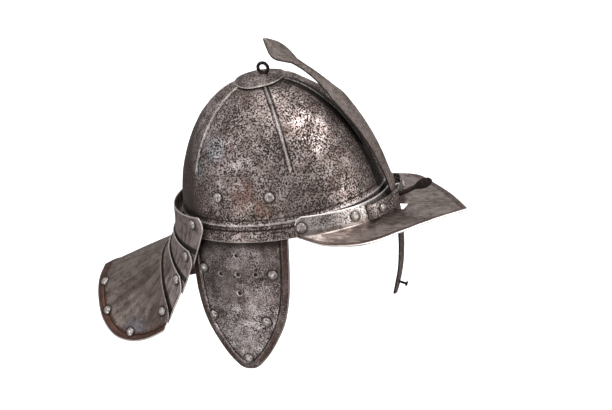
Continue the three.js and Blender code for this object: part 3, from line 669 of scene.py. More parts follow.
def build_eye():
    foot = SKULL_HEIGHT + CAP_GAP + CAP_WALL
    ring_z = foot + EYE_RADIUS + EYE_WIRE * 0.7
    points = []
    turns = 48
    sides = 14
    for turn in range(turns):
        angle = 2 * math.pi * turn / turns
        out = Vector((math.cos(angle), 0, math.sin(angle)))
        for side in range(sides):
            around = 2 * math.pi * side / sides
            wire = EYE_WIRE * (1 + 0.1 * noise.noise(out * 2.2 + Vector((0, around, 0))))
            away = out * (EYE_RADIUS + wire * math.cos(around))
            points.append(Vector((EYE_X, wire * math.sin(around), ring_z)) + away)
    eye = new_piece("hanging_eye_ring", points, ring_faces(turns, sides, round_again=True))
    low = SKULL_HEIGHT - SKULL_WALL - EYE_CLENCH
    stem = lathe("stem", [
        (0, low), (EYE_STEM + 1.4, low), (EYE_STEM + 2, low + 0.5), (EYE_STEM, low + 1.2),
        (EYE_STEM, foot + 0.3), (EYE_STEM + 2.4, foot + 0.3), (EYE_STEM + 2.2, foot + 0.9),
        (EYE_STEM + 1, foot + 1.5), (EYE_STEM * 0.95, foot + 2.1), (0, ring_z - EYE_RADIUS),
    ], 32)
    stand(stem, Vector((EYE_X, 0, 0)), Vector((0, 0, 1)))
    combine(eye, stem, "UNION")
    crisp(eye, 50)
    return eye


# Peak

def crease_z(x):
    return -PEAK_PITCH * (x - PEAK_LEVEL_X) - PEAK_CREASE_DROP


def peak_ring(turn, lean):
    angle = math.radians(turn * PEAK_SPREAD)
    x = (SKULL_HALF_LENGTH + PEAK_CLEAR - lean) * math.cos(angle)
    y = (SKULL_HALF_WIDTH + PEAK_CLEAR - lean) * math.sin(angle)
    return Vector((x, -y, 0))


def peak_plain(u, v):
    """The peak with a sharp fold: v runs from the flange's top over the FOLD to the edge."""
    along = min(1.02, abs(u))
    side = 1 if u < 0 else -1
    crease = peak_ring(u, 0)
    crease.z = crease_z(crease.x)
    if v <= FOLD:
        up = 1 - v / FOLD
        end = max(0.0, along - PEAK_END) / (1 - PEAK_END)
        point = peak_ring(u, PEAK_FLANGE_LEAN * up)
        point.z = crease.z + PEAK_FLANGE_HEIGHT * (1 - PEAK_END_CUT * end * end) * up
        return point
    edge = Vector((PEAK_TIP_X * BRIM.read(along, "forward"),
                   side * PEAK_HALF_WIDTH * BRIM.read(along, "aside"),
                   -PEAK_TIP_DROP * BRIM.read(along, "drop")))
    return crease.lerp(edge, (v - FOLD) / (1 - FOLD))


def peak_shape(u, v):
    """The peak with its fold rounded."""
    low = FOLD - FOLD_ABOVE
    high = FOLD + FOLD_BELOW
    if v <= low or v >= high:
        return peak_plain(u, v)
    step = (v - low) / (high - low)
    first = peak_plain(u, low).lerp(peak_plain(u, FOLD), step)
    second = peak_plain(u, FOLD).lerp(peak_plain(u, high), step)
    return first.lerp(second, step)


def peak_edge(u, v):
    if v <= FOLD:
        return v / FOLD * PEAK_FLANGE_HEIGHT
    return (peak_plain(u, 1) - peak_plain(u, v)).length


def peak_proud(u, v):
    return border(peak_edge(u, v), PEAK_BORDER, 0.9) if v > FOLD else 0


def build_peak():
    rows = spread(26, 0, FOLD) + spread(40, FOLD, 0.9)[1:] + spread(16, 0.9, 1)[1:]
    peak = sheet("peak_plate", peak_shape, spread(220), rows, PEAK_WALL, proud=peak_proud,
                 edge=peak_edge,
                 dent=lambda point: ripple(point, 30, 0.5) + ripple(point, 9, 0.16))
    back = SKULL_HALF_LENGTH + PEAK_CLEAR + SLOT_GAP
    slot = box_solid((back, -SLOT_HALF_WIDTH, SLOT_LOW_Z),
                     (back + SLOT_LENGTH, SLOT_HALF_WIDTH, SLOT_TOP_Z))
    combine(peak, slot, "DIFFERENCE")
    crisp(peak, 48)
    return peak


# Nasal bar

def bar_point(angle, radius, y):
    turn = math.radians(angle)
    return Vector((BAR_X + radius * math.cos(turn), y, BAR_Z + radius * math.sin(turn)))


def build_bar():
    inner = BAR_RADIUS - BAR_THICKNESS / 2
    outer = BAR_RADIUS + BAR_THICKNESS / 2
    rings = []
    for along in spread(260, 0, 1):
        angle = BAR_LOW_ANGLE + (BAR_HIGH_ANGLE - BAR_LOW_ANGLE) * along
        half = BAR_LEAF_HALF_WIDTH * BAR.read(along, "half")
        lift = BAR_THICKNESS * BAR.read(along, "lift")
        wave = ripple(bar_point(angle, outer, 0), 16, 0.3)
        half += ripple(bar_point(angle, inner, 9), 7, 0.35)
        edge = min(0.5, half * 0.3)
        profile = [
            (0, half - edge), (0.25, half), (BAR_THICKNESS - 1.6, half),
            (BAR_THICKNESS - 1.0, half - 0.5 * edge), (BAR_THICKNESS - 0.25, half * 0.16),
            (BAR_THICKNESS, 0),
        ]
        ring = [bar_point(angle, inner + lift + wave + up, y) for up, y in profile]
        ring += [bar_point(angle, inner + lift + wave + up, -y) for up, y in reversed(profile[:-1])]
        rings.append(ring)
    bar = ring_solid("nasal_bar_steel", rings)
    sides = len(rings[0])
    # Painted shade: the bar's side faces are marked dark in place of their shadow
    dark = [-0.3 if at % sides in (0, 1, 2, sides - 3, sides - 2, sides - 1) else 0.0
            for at in range(sides * len(rings))]
    mark(bar, "relief_and_painted_light", dark)
    crisp(bar, 35)
    return bar


def pin_seat():
    point = bar_point(PIN_ANGLE, BAR_RADIUS - BAR_THICKNESS / 2, 0)
    return point, (point - bar_point(0, 0, 0)).normalized()


def build_pin():
    reach = BAR_THICKNESS + PIN_LENGTH
    pin = lathe("stop_pin_iron", [
        (0, -1.2), (PIN_RADIUS + 0.9, -1.2), (PIN_RADIUS + 0.6, -0.3), (PIN_RADIUS, -0.2),
        (PIN_RADIUS, reach - 2), (PIN_HEAD_RADIUS * 0.8, reach - 1.7), (PIN_HEAD_RADIUS, reach - 1.2),
        (PIN_HEAD_RADIUS, reach - 0.5), (PIN_HEAD_RADIUS * 0.8, reach - 0.1), (0, reach),
    ], 24, uneven=0.12)
    stand(pin, *pin_seat())
    crisp(pin, 50)
    return pin


# Bracket and wing screw

BRACKET_CROWN_X = BAR_X + BAR_RADIUS + BAR_THICKNESS / 2 + BRACKET_BAR_GAP


def flange_x(y):
    side = SKULL_HALF_WIDTH + PEAK_CLEAR
    return (SKULL_HALF_LENGTH + PEAK_CLEAR) * math.sqrt(1 - (y / side) ** 2)


BRACKET_SAG = BRACKET_CROWN_X - flange_x(BRACKET_HALF_SPAN) - BRACKET_PROUD


def bracket_x(y, out):
    return BRACKET_CROWN_X + out - BRACKET_SAG * (y / BRACKET_HALF_SPAN) ** 2


def build_bracket():
    foot = BRACKET_HALF_SPAN - BRACKET_FOOT_WIDTH
    rows = spread(20, 0, 1)
    rings = []
    for share in spread(90):
        y = share * BRACKET_HALF_SPAN
        back = bracket_x(y * foot / BRACKET_HALF_SPAN, 0)
        if abs(y) > foot:
            back = flange_x(y) + TOUCH_GAP
        front = bracket_x(y, BRACKET_THICKNESS) + ripple(Vector((0, y, 0)), 9, 0.25)
        low = BRACKET_BOTTOM_Z + BRACKET_INSET + ripple(Vector((5, y, 0)), 10, 0.4)
        high = BRACKET_BOTTOM_Z + BRACKET_HEIGHT - BRACKET_INSET + ripple(Vector((9, y, 0)), 10, 0.4)
        edge = 0.5
        ring = [Vector((back, y, low)), Vector((front - edge, y, low))]
        for up in rows[1:-1]:
            z = low + (high - low) * up
            ring.append(Vector((front + ripple(Vector((1, y, z)), 5, 0.16), y, z)))
        ring += [Vector((front - edge, y, high)), Vector((back, y, high))]
        rings.append(ring)
    bracket = ring_solid("nasal_bracket_steel", rings)
    base, axis = screw_seat()
    hole = lathe("cutter", [(0, -9), (2.7, -9), (2.7, 9), (0, 9)], 24)
    stand(hole, base, axis)
    combine(bracket, hole, "DIFFERENCE")
    crisp(bracket, 40)
    return bracket


def bracket_seat(side):
    y = side * BRACKET_RIVET_Y
    slope = 2 * BRACKET_SAG * y / BRACKET_HALF_SPAN ** 2
    point = Vector((bracket_x(y, BRACKET_THICKNESS), y, BRACKET_BOTTOM_Z + BRACKET_HEIGHT / 2))
    return point, Vector((1, slope, 0)).normalized()


def screw_seat():
    tilt = math.radians(SCREW_TILT)
    axis = Vector((math.cos(tilt), 0, math.sin(tilt)))
    return Vector((BRACKET_CROWN_X + BRACKET_THICKNESS, 0, SCREW_Z)), axis


def build_screw():
    """A screw with a real helical thread and a forged flat wing."""
    base, axis = screw_seat()
    sides = 24
    low = -(BRACKET_THICKNESS + 0.2) / math.cos(math.radians(SCREW_TILT))
    rings = []
    for height in spread(130, low, SCREW_LENGTH):
        ring = []
        fade = smooth((height - 0.5) / 1.5) * smooth((SCREW_LENGTH - 4 - height) / 1.5)
        for side in range(sides):
            turn = 2 * math.pi * side / sides
            phase = (height / THREAD_PITCH - side / sides) % 1
            crest = THREAD_DEPTH * (1 - abs(2 * phase - 1)) * 1.6
            radius = SCREW_RADIUS + fade * (crest - 0.1)
            ring.append(Vector((radius * math.cos(turn), radius * math.sin(turn), height)))
        rings.append(ring)
    screw = ring_solid("wing_screw_iron", rings)
    plate = []
    for share in spread(48, 0, 1):
        z = SCREW_LENGTH - 2 + (WING_LENGTH + 1.8) * share
        round_end = math.sqrt(max(0.02, 1 - (max(0.0, share - 0.62) / 0.385) ** 2))
        half = 2.1 + (WING_HALF_HEIGHT - 2.1) * smooth(share / 0.5)
        half = half * round_end * (1 + 0.06 * noise.noise(Vector((share * 6, 0, 2))))
        thick = WING_THICKNESS / 2 * (1 - 0.2 * share)
        ring = []
        for side in range(28):
            turn = 2 * math.pi * side / 28
            across = math.copysign(abs(math.cos(turn)) ** 0.6, math.cos(turn))
            depth = math.copysign(abs(math.sin(turn)) ** 0.45, math.sin(turn))
            ring.append(Vector((half * across, thick * depth, z)))
        plate.append(ring)
    wing = ring_solid("wing", plate)
    combine(screw, wing, "UNION")
    stand(screw, base, axis)
    crisp(screw, 42)
    return screw


# Neck guard

def neck_point(u, course):
    back_x = -NECK_REACH * NECK.read(course, "back_x")
    back_z = NECK_DEPTH * NECK.read(course, "back_z")
    side_x = -NECK_REACH * NECK.read(course, "side_x")
    side_y = SKULL_HALF_WIDTH * NECK.read(course, "side_y")
    side_z = NECK_DEPTH * NECK.read(course, "side_z")
    turn_span = math.acos(side_x / back_x)
    turn = turn_span * u
    y = side_y * math.sin(turn) / math.sin(turn_span)
    drop = (side_z - back_z) * abs(u) ** NECK_DROP_POWER
    return Vector((back_x * math.cos(turn), y, back_z + drop))


@functools.cache
def neck_offset(u, course, out):
    return neck_point(u, course) + normal_at(neck_point, u, course) * out


def lame_shape(lame):
    """u runs from the right side round the back to the left side, v from the top edge down."""
    def shape(u, v):
        corner = max(0.0, 1 - v / LAME_CORNER_HEIGHT)
        wide = u * (1 - LAME_CORNER_CUT * corner * corner)
        course = lame["top"] + (lame["bottom"] - lame["top"]) * v
        return neck_offset(wide, course, LAME_WALL + LAME_TUCK + LAME_PROUD * (1 - v))
    return shape


def build_lame(lame):
    shape = lame_shape(lame)

    def edge(u, v):
        side = (shape(math.copysign(1, u), v) - shape(u, v)).length
        return min(side, (shape(u, 0) - shape(u, v)).length)

    def shade(u, v):
        """Painted shade: the dark line where the next plate's edge stands off this one, in place of the
        shadow in that gap.
        """
        course = lame["top"] + (lame["bottom"] - lame["top"]) * v
        return -0.5 * math.exp(-((course - lame["top"] - 0.94) / 0.07) ** 2)

    return sheet(lame["node"] + "_plate", shape, spread(170), spread(50, 0, 1), LAME_WALL,
                 dent=lambda point: ripple(point, 26, 0.35), relief_and_painted_light=shade, edge=edge)


def tail_shape(u, v):
    along = min(1.02, abs(u))
    side = -1 if u < 0 else 1
    corner = max(0.0, 1 - v / TAIL_CORNER_HEIGHT)
    out = LAME_WALL + LAME_TUCK + LAME_PROUD
    neck = neck_offset(u * (1 - TAIL_CORNER_CUT * corner * corner), TAIL_COURSE, out)
    root = neck_point(0, TAIL_COURSE)
    edge = Vector((root.x - TAIL_REACH * TAIL.read(along, "back"),
                   side * TAIL_HALF_WIDTH * TAIL.read(along, "aside"),
                   root.z - TAIL_DROP * TAIL.read(along, "drop")))
    return neck.lerp(edge, v)


def tail_edge(u, v):
    return (tail_shape(u, 1) - tail_shape(u, v)).length


def tail_proud(u, v):
    return border(tail_edge(u, v), TAIL_BORDER, 1.0)


def build_tail():
    rows = spread(40, 0, 0.85) + spread(16, 0.85, 1)[1:]
    return sheet("tail_plate_steel", tail_shape, spread(220), rows, TAIL_WALL, proud=tail_proud,
                 edge=tail_edge,
                 dent=lambda point: ripple(point, 28, 0.5) + ripple(point, 10, 0.15))


# Cheek piece, on the wearer's right

def cheek_y(x, down, out):
    bow = CHEEK_BOW * (x - CHEEK_BOW_X) ** 2
    return CHEEK_PLANE_Y + out - bow - CHEEK_TUCK * max(0.0, down) ** 2


def cheek_shape(u, v):
    """u runs from the front to the rear, v from the top edge to the tip."""
    half = CHEEK_HALF_WIDTH * CHEEK.read(clamp(v), "half")
    x = CHEEK_TOP_X - CHEEK_LEAN * v - u * half
    return Vector((x, -cheek_y(x, v, 0), CHEEK_TOP_Z - CHEEK_LENGTH * v))


def cheek_edge_distance(u, v):
    half = CHEEK_HALF_WIDTH * CHEEK.read(clamp(v), "half")
    ahead = CHEEK_HALF_WIDTH * CHEEK.read(clamp(v + 0.02), "half")
    behind = CHEEK_HALF_WIDTH * CHEEK.read(clamp(v - 0.02), "half")
    slope = (ahead - behind) / (0.04 * CHEEK_LENGTH)
    across = (1 - abs(u)) * half / math.hypot(1, slope)
    return min(across, (1 - v) * CHEEK_LENGTH)


def hearing_spots():
    across = HEARING_SPACING / CHEEK_HALF_WIDTH
    down = HEARING_SPACING / CHEEK_LENGTH
    steps = ((0, 0), (-1, 0), (1, 0), (0, -1), (0, 1))
    return [(-HEARING_ACROSS - across * i, HEARING_DOWN + down * j) for i, j in steps]


def build_cheek():
    holes = [cheek_shape(u, v) for u, v in hearing_spots()]

    def dent(point):
        sink = ripple(point, 30, 0.4) + ripple(point, 8, 0.16)
        for hole in holes:
            away = (point - hole).length
            if away < HEARING_DIMPLE:
                sink -= 0.7 * math.exp(-(away / 3.4) ** 2)
                sink += 0.18 * math.exp(-((away - 5) / 1.2) ** 2)
        return sink

    def proud(u, v):
        return border(cheek_edge_distance(u, v), CHEEK_BORDER, 0.9)

    def relief_and_painted_light(u, v):
        """A rubbed line along the border's crest, a dark one inside it, and bright hole rims."""
        share = cheek_edge_distance(u, v) / CHEEK_BORDER
        height = 0.9 * math.exp(-((share - 0.93) / 0.08) ** 2)
        height -= 0.45 * math.exp(-((share - 1.2) / 0.1) ** 2)
        point = cheek_shape(u, v)
        for hole in holes:
            away = (point - hole).length
            if away < HEARING_DIMPLE:
                height += math.exp(-((away - 3) / 0.9) ** 2)
        return height

    rows = spread(130, 0, 0.93) + spread(20, 0.93, 1)[1:]
    cheek = sheet("cheek_piece_plate", cheek_shape, spread(118), rows, CHEEK_WALL,
                  dent=dent, proud=proud, relief_and_painted_light=relief_and_painted_light, edge=cheek_edge_distance)
    for u, v in hearing_spots():
        point, normal = seat_on(cheek_shape, u, v)
        cutter = lathe("cutter", [(0, -5), (HEARING_HOLE, -5), (HEARING_HOLE, 5), (0, 5)], 24)
        stand(cutter, point, normal)
        combine(cheek, cutter, "DIFFERENCE")
    crisp(cheek, 55)
    return cheek


def hanger_y(x, z):
    low = cheek_y(x, (CHEEK_TOP_Z - z) / CHEEK_LENGTH, -CHEEK_WALL - HANGER_GAP)
    inside = -SKULL_WALL - HANGER_SKULL_GAP
    level = math.sqrt(1 - (z / (SKULL_HEIGHT + inside)) ** 2)
    turn = math.sqrt(1 - (x / ((SKULL_HALF_LENGTH + inside) * level)) ** 2)
    high = (SKULL_HALF_WIDTH + inside) * level * turn
    return low + (high - low) * clamp((z - HANGER_BEND_Z) / HANGER_BEND_HEIGHT)


def hanger_shape(u, v):
    z = HANGER_TOP_Z + (HANGER_BOTTOM_Z - HANGER_TOP_Z) * v
    half = HANGER_TOP_HALF + (HANGER_BOTTOM_HALF - HANGER_TOP_HALF) * v
    x = HANGER_TOP_X + (CHEEK_TOP_X - HANGER_SET_BACK - HANGER_TOP_X) * v - u * half
    return Vector((x, -hanger_y(x, z), z))


def build_hanger():
    return sheet("cheek_hanger_leather", hanger_shape, spread(60), spread(60, 0, 1), HANGER_WALL,
                 dent=lambda point: ripple(point, 12, 0.12) - 0.1)


# Rivets

def rivet_rows():
    """Every rivet: its node, its seat, its head's radius and how far its shank reaches in."""
    rows = []
    for row in PEAK_RIVETS:
        seat = seat_on(peak_plain, row["along"], FOLD * (1 - row["up"]))
        rows.append(("peak_rivet_" + row["name"], seat, RIVET_HEAD, PEAK_GRIP))
    for row in CHEEK_RIVETS:
        seat = seat_on(cheek_shape, row["across"], row["down"])
        rows.append(("cheek_rivet_" + row["name"], seat, RIVET_HEAD, row["grip"]))
    for side, name in ((-1, "right"), (1, "left")):
        rows.append(("bracket_rivet_" + name, bracket_seat(side), BRACKET_RIVET_HEAD, BRACKET_GRIP))
        for at, lame in enumerate(LAMES):
            share = side * LAME_RIVET_SHARE * (1 - LAME_CORNER_CUT / 3 if at == 0 else 1)
            seat = seat_on(lame_shape(lame), share, LAME_RIVET_DOWN)
            rows.append((f"lame_rivet_{at + 1}_{name}", seat, LAME_RIVET_HEAD, LAME_GRIP))
        for at, row in enumerate(TAIL_RIVETS):
            seat = seat_on(tail_shape, side * row["along"], row["down"])
            rows.append((f"tail_rivet_{at + 1}_{name}", seat, TAIL_RIVET_HEAD, row["grip"]))
        for row in SKULL_RIVETS:
            up = math.degrees(math.asin(row["height"] / SKULL_HEIGHT))
            seat = seat_on(skull_shape, side * row["angle"], up)
            rows.append((f"skull_rivet_{row['name']}_{name}", seat, RIVET_HEAD, SKULL_GRIP))
    return rows


def build_rivet(node, seat, head, grip, seed):
    """A domed head, hammered a little unevenly, with a thin lip where it meets the plate."""
    tall = RIVET_HEIGHT * head / RIVET_HEAD
    profile = [(0, -grip), (RIVET_SHANK, -grip), (RIVET_SHANK, 0.1), (head * 0.99, 0.1),
               (head, 0.35)]
    for step in range(1, 9):
        angle = math.pi / 2 * step / 9
        profile.append((head * math.cos(angle) ** 0.8, 0.35 + (tall - 0.1) * math.sin(angle)))
    profile.append((0, 0.28 + tall))
    rivet = lathe(node + "_head", profile, 32, uneven=0.07, seed=seed * 3.7)
    stand(rivet, *seat)
    crisp(rivet, 50)
    return rivet


# Finishes

class Finish:
    """One material's nodes. Its patterns lie in the helmet's own space, with sizes in millimetres."""

    def __init__(self, name):
        self.material = bpy.data.materials.new(name)
        self.material.use_nodes = True
        self.nodes = self.material.node_tree.nodes
        self.links = self.material.node_tree.links
        self.shader = self.nodes["Principled BSDF"]
        self.place = self.nodes.new("ShaderNodeTexCoord").outputs["Object"]
        scale = self.node("VectorMath", {0: self.place, "Scale": 1 / MM}, operation="SCALE")
        self.place = scale.outputs[0]

    def put(self, value, socket):
        if isinstance(value, bpy.types.NodeSocket):
            self.links.new(value, socket)
        else:
            socket.default_value = value

    def node(self, kind, inputs, **settings):
        """Adds a node; each input gets a number, a vector or another node's output."""
        node = self.nodes.new("ShaderNode" + kind)
        for name, value in settings.items():
            setattr(node, name, value)
        for name, value in inputs.items():
            self.put(value, node.inputs[name])
        return node

    def scaled(self, scale, shift, place=None):
        inputs = {"Vector": place or self.place, "Location": shift, "Scale": scale}
        return self.node("Mapping", inputs).outputs[0]

    def grain(self, size, detail=3, rough=0.6, stretch=(1, 1, 1), shift=0.0, place=None):
        """Noise with features of about that size, drawn out along the axes by stretch."""
        scale = [1 / (size * s) for s in stretch]
        vector = self.scaled(scale, (shift, shift * 0.7, -shift), place)
        inputs = {"Vector": vector, "Scale": 1, "Detail": detail, "Roughness": rough}
        return self.node("TexNoise", inputs).outputs["Fac"]

    def cells(self, size):
        vector = self.scaled((1 / size,) * 3, (0, 0, 0))
        return self.node("TexVoronoi", {"Vector": vector, "Scale": 1}).outputs["Distance"]

    def math(self, kind, first, second=0.0):
        return self.node("Math", {0: first, 1: second}, operation=kind).outputs[0]

    def mask(self, value, low, high, floor=0.0, top=1.0):
        """Runs smoothly from floor to top as the value goes from low to high."""
        inputs = {"Value": value, "From Min": low, "From Max": high, "To Min": floor, "To Max": top}
        node = self.node("MapRange", inputs, interpolation_type="SMOOTHSTEP")
        return node.outputs["Result"]

    def blend(self, share, first, second):
        first, second = ((*c, 1) if isinstance(c, tuple) else c for c in (first, second))
        node = self.node("Mix", {}, data_type="RGBA")
        for name, value in (("Factor", share), ("A", first), ("B", second)):
            self.put(value, node.inputs[name])
        return node.outputs["Result"]

    def lay(self, colour, where, strength, tint):
        """Lays a tint over a colour where a mask is 1, at that strength."""
        return self.blend(self.math("MULTIPLY", where, strength), colour, tint)

    def mix(self, share, first, second):
        return self.node("Mix", {"Factor": share, "A": first, "B": second}).outputs["Result"]

    def read(self, name):
        return self.node("Attribute", {}, attribute_name=name).outputs["Fac"]

    def sheet_place(self, across, down):
        """Where a point lies across and down its sheet, each times a number."""
        inputs = {"X": self.math("MULTIPLY", self.read("across"), across),
                  "Y": self.math("MULTIPLY", self.read("down"), down)}
        return self.node("CombineXYZ", inputs).outputs[0]

    def along(self, axis):
        return self.node("SeparateXYZ", {0: self.place}).outputs[axis]

    def away_from(self, centre):
        inputs = {0: self.place, 1: centre}
        return self.node("VectorMath", inputs, operation="DISTANCE").outputs["Value"]

    def patch(self, centre, radius, ragged=0.35):
        """A ragged round patch: 1 at its centre and 0 outside it."""
        share = self.math("DIVIDE", self.away_from(centre), radius)
        uneven = self.math("MULTIPLY", self.grain(radius * 0.4, 5, 0.65), ragged * 4)
        total = self.math("ADD", share, self.math("SUBTRACT", uneven, ragged * 2))
        return self.mask(total, 1.0, 0.45)

    def ragged_border(self, size, amount):
        """How near a free edge a point is, made uneven by that amount."""
        uneven = self.math("SUBTRACT", self.grain(size, 4, 0.7, shift=8.0), 0.5)
        return self.math("ADD", self.read("near_edge"), self.math("MULTIPLY", uneven, amount))

    def close(self, colour, roughness, metallic, height, depth):
        """Finishes the material; height is its fine bumps, with that depth in millimetres."""
        bump = self.node("Bump", {"Height": height, "Distance": depth * MM})
        inputs = {"Base Color": colour, "Roughness": roughness, "Metallic": metallic,
                  "Normal": bump.outputs["Normal"]}
        for name, value in inputs.items():
            self.put(value, self.shader.inputs[name])
        return self.material


def speckle(finish, amount, size, steel):
    """Puts dense rust pits over a steel colour; returns the colour and the mask of the pits."""
    broad = finish.grain(24, 4, 0.6, shift=4.0)
    fine = finish.grain(size, 3, 0.62)
    drift = finish.math("MULTIPLY", finish.math("SUBTRACT", broad, 0.5), 0.28)
    level = finish.math("ADD", fine, drift)
    film = finish.mask(level, 0.56 - amount, 0.61 - amount)
    pits = finish.mask(level, 0.605 - amount, 0.655 - amount)
    colour = finish.lay(steel, film, 0.62, STEEL_DARK)
    return finish.lay(colour, pits, 0.95, PIT_AND_SHADOW_BLACK), pits


def age(finish, colour, seats, grime_and_shade, edge_bright, grime_and_shade_full=-0.22, crest=0.0, rim=(0.93, 0.985)):
    """Dirt and painted shadow round the rivets' feet, darkening below zero that is dirt in the grooves
    and painted shade where a piece marks it, rubbed crests brightened as a painted highlight, and a
    bright free edge.
    """
    # Dirt with a painted shadow: a dark ring round each rivet's foot
    for point, head in seats:
        ring = finish.mask(finish.away_from(point), head + 2.6, head + 0.4)
        colour = finish.lay(colour, ring, 0.8, DIRT_AND_SHADOW)
    relief_and_painted_light = finish.read("relief_and_painted_light")
    # Darker below zero: dirt in the grooves, and painted shade where a piece is marked with it
    colour = finish.lay(colour, finish.mask(relief_and_painted_light, -0.04, grime_and_shade_full), grime_and_shade, PIT_AND_SHADOW_BLACK)
    # Crests brightened in a rubbed pattern, which on the skull's ribs and bead is a painted highlight
    if crest:
        rubbed = finish.mask(finish.grain(2.2, 3, 0.6, shift=3.0), 0.3, 0.5)
        rubbed = finish.math("MULTIPLY", finish.mask(relief_and_painted_light, 0.45, 1.0), rubbed)
        colour = finish.lay(colour, rubbed, crest, EDGE_AND_HIGHLIGHT_BRIGHT)
    return finish.lay(colour, finish.mask(finish.read("near_edge"), *rim), edge_bright, EDGE_AND_HIGHLIGHT_BRIGHT)


def pitted_steel(name, amount, size=1.5, rust_spots=(), painted_sheen_spots=(), painted_shades=(), seats=(),
                 tones=(STEEL_MIDDLE, STEEL_BRIGHT), edge_bright=0.5, painted_bar_shadow=False,
                 dark_border=0.0):
    """Old bright steel with dense dark pits, rust patches and rubbed edges, and painted sheen, shade
    and shadow where given. Each painted shade is an axis, where it starts and is full, its strength and
    its colour."""
    finish = Finish(name)
    tone = finish.grain(14, 5, 0.66, shift=2.0)
    steel = finish.blend(finish.mask(tone, 0.3, 0.7), *tones)
    # Painted sheen: bluish highlight patches where a cool light shines on the steel
    for centre, radius in painted_sheen_spots:
        steel = finish.lay(steel, finish.patch(centre, radius, 0.4), 0.5, PAINTED_SHEEN_BLUE)
    colour, pits = speckle(finish, amount, size, steel)
    warm = finish.mask(finish.grain(22, 5, 0.7, shift=7.0), 0.48, 0.66)
    colour = finish.lay(colour, warm, 0.42, RUST_DARK)
    rust = finish.mask(finish.grain(3.2, 4, 0.7, shift=5.0), 0.38, 0.62)
    for centre, radius in rust_spots:
        spot = finish.math("MULTIPLY", finish.patch(centre, radius), rust)
        colour = finish.lay(colour, spot, 0.6, RUST)
    # Painted shade: darker along an axis, where less light falls
    for axis, start, full, strength, tint in painted_shades:
        colour = finish.lay(colour, finish.mask(finish.along(axis), start, full), strength, tint)
    # Painted shadow of the nasal bar: a black band on the skull beneath it
    if painted_bar_shadow:
        bar_shadow = finish.mask(finish.math("ABSOLUTE", finish.along("Y")), 9.5, 6.5)
        bar_shadow = finish.math("MULTIPLY", bar_shadow, finish.mask(finish.along("X"), 18, 34))
        colour = finish.lay(colour, bar_shadow, 0.9, PIT_AND_SHADOW_BLACK)
    if dark_border:
        border_band = finish.mask(finish.read("near_edge"), 0.52, 0.6)
        colour = finish.lay(colour, border_band, dark_border, RUST_DARK)
    colour = age(finish, colour, seats, 0.85, edge_bright, crest=0.5, rim=(0.955, 0.99))
    rough = finish.mix(pits, finish.mask(tone, 0.3, 0.7, 0.48, 0.38), 0.8)
    height = finish.math("SUBTRACT", finish.math("MULTIPLY", finish.grain(5, 5, 0.6), 1.2), pits)
    return finish.close(colour, rough, finish.mask(pits, 0, 1, 0.96, 0.4), height, 0.22)


def brushed_steel(name, tones, pit_amount, streak=None, fan=None, rust_edge=0.0, rust_from=0.6,
                  seats=(), patches_and_highlights=(), edge_bright=0.75):
    """Smoother browned steel with drawn-out streaks, faint stains, listed patches of tint, some of them
    painted highlights, and a rusty turned border. tones are its bright, middle and dark colours. The
    streaks are drawn out along the axes by streak, or follow the sheet by fan: how many lie across it
    and down it."""
    finish = Finish(name)
    bright, middle, dark = tones
    broad = finish.grain(28, 4, 0.6, shift=1.0)
    mottle = finish.grain(6, 5, 0.65, shift=3.0)
    if fan:
        lines = finish.grain(1, 4, 0.55, place=finish.sheet_place(*fan))
    else:
        lines = finish.grain(1.6, 4, 0.7, stretch=streak, shift=6.0)
    colour = finish.blend(finish.mask(finish.mix(0.4, lines, broad), 0.4, 0.6), middle, bright)
    # Listed patches of tint, among them painted highlights
    for centre, radius, tint in patches_and_highlights:
        colour = finish.lay(colour, finish.patch(centre, radius), 0.6, tint)
    colour = finish.lay(colour, finish.mask(mottle, 0.48, 0.68), 0.6, dark)
    dots = finish.mask(finish.grain(1.1, 3, 0.6, shift=2.0), 0.6 - pit_amount, 0.7 - pit_amount)
    colour = finish.lay(colour, dots, 0.75, PIT_AND_SHADOW_BLACK)
    if rust_edge:
        band = finish.mask(finish.ragged_border(4, 0.9), rust_from, rust_from + 0.16)
        colour = finish.lay(colour, band, rust_edge, RUST_DARK)
        bits = finish.mask(finish.grain(5, 4, 0.7, shift=4.0), 0.5, 0.62)
        bits = finish.math("MULTIPLY", band, bits)
        colour = finish.lay(colour, bits, rust_edge * 0.35, RUST)
    colour = age(finish, colour, seats, 0.92, edge_bright)
    rough = finish.mask(mottle, 0.3, 0.7, 0.34, 0.56)
    skin = finish.math("ADD", finish.math("MULTIPLY", lines, 0.5), mottle)
    height = finish.math("SUBTRACT", skin, dots)
    return finish.close(colour, rough, finish.mask(dots, 0, 1, 0.94, 0.4), height, 0.1)


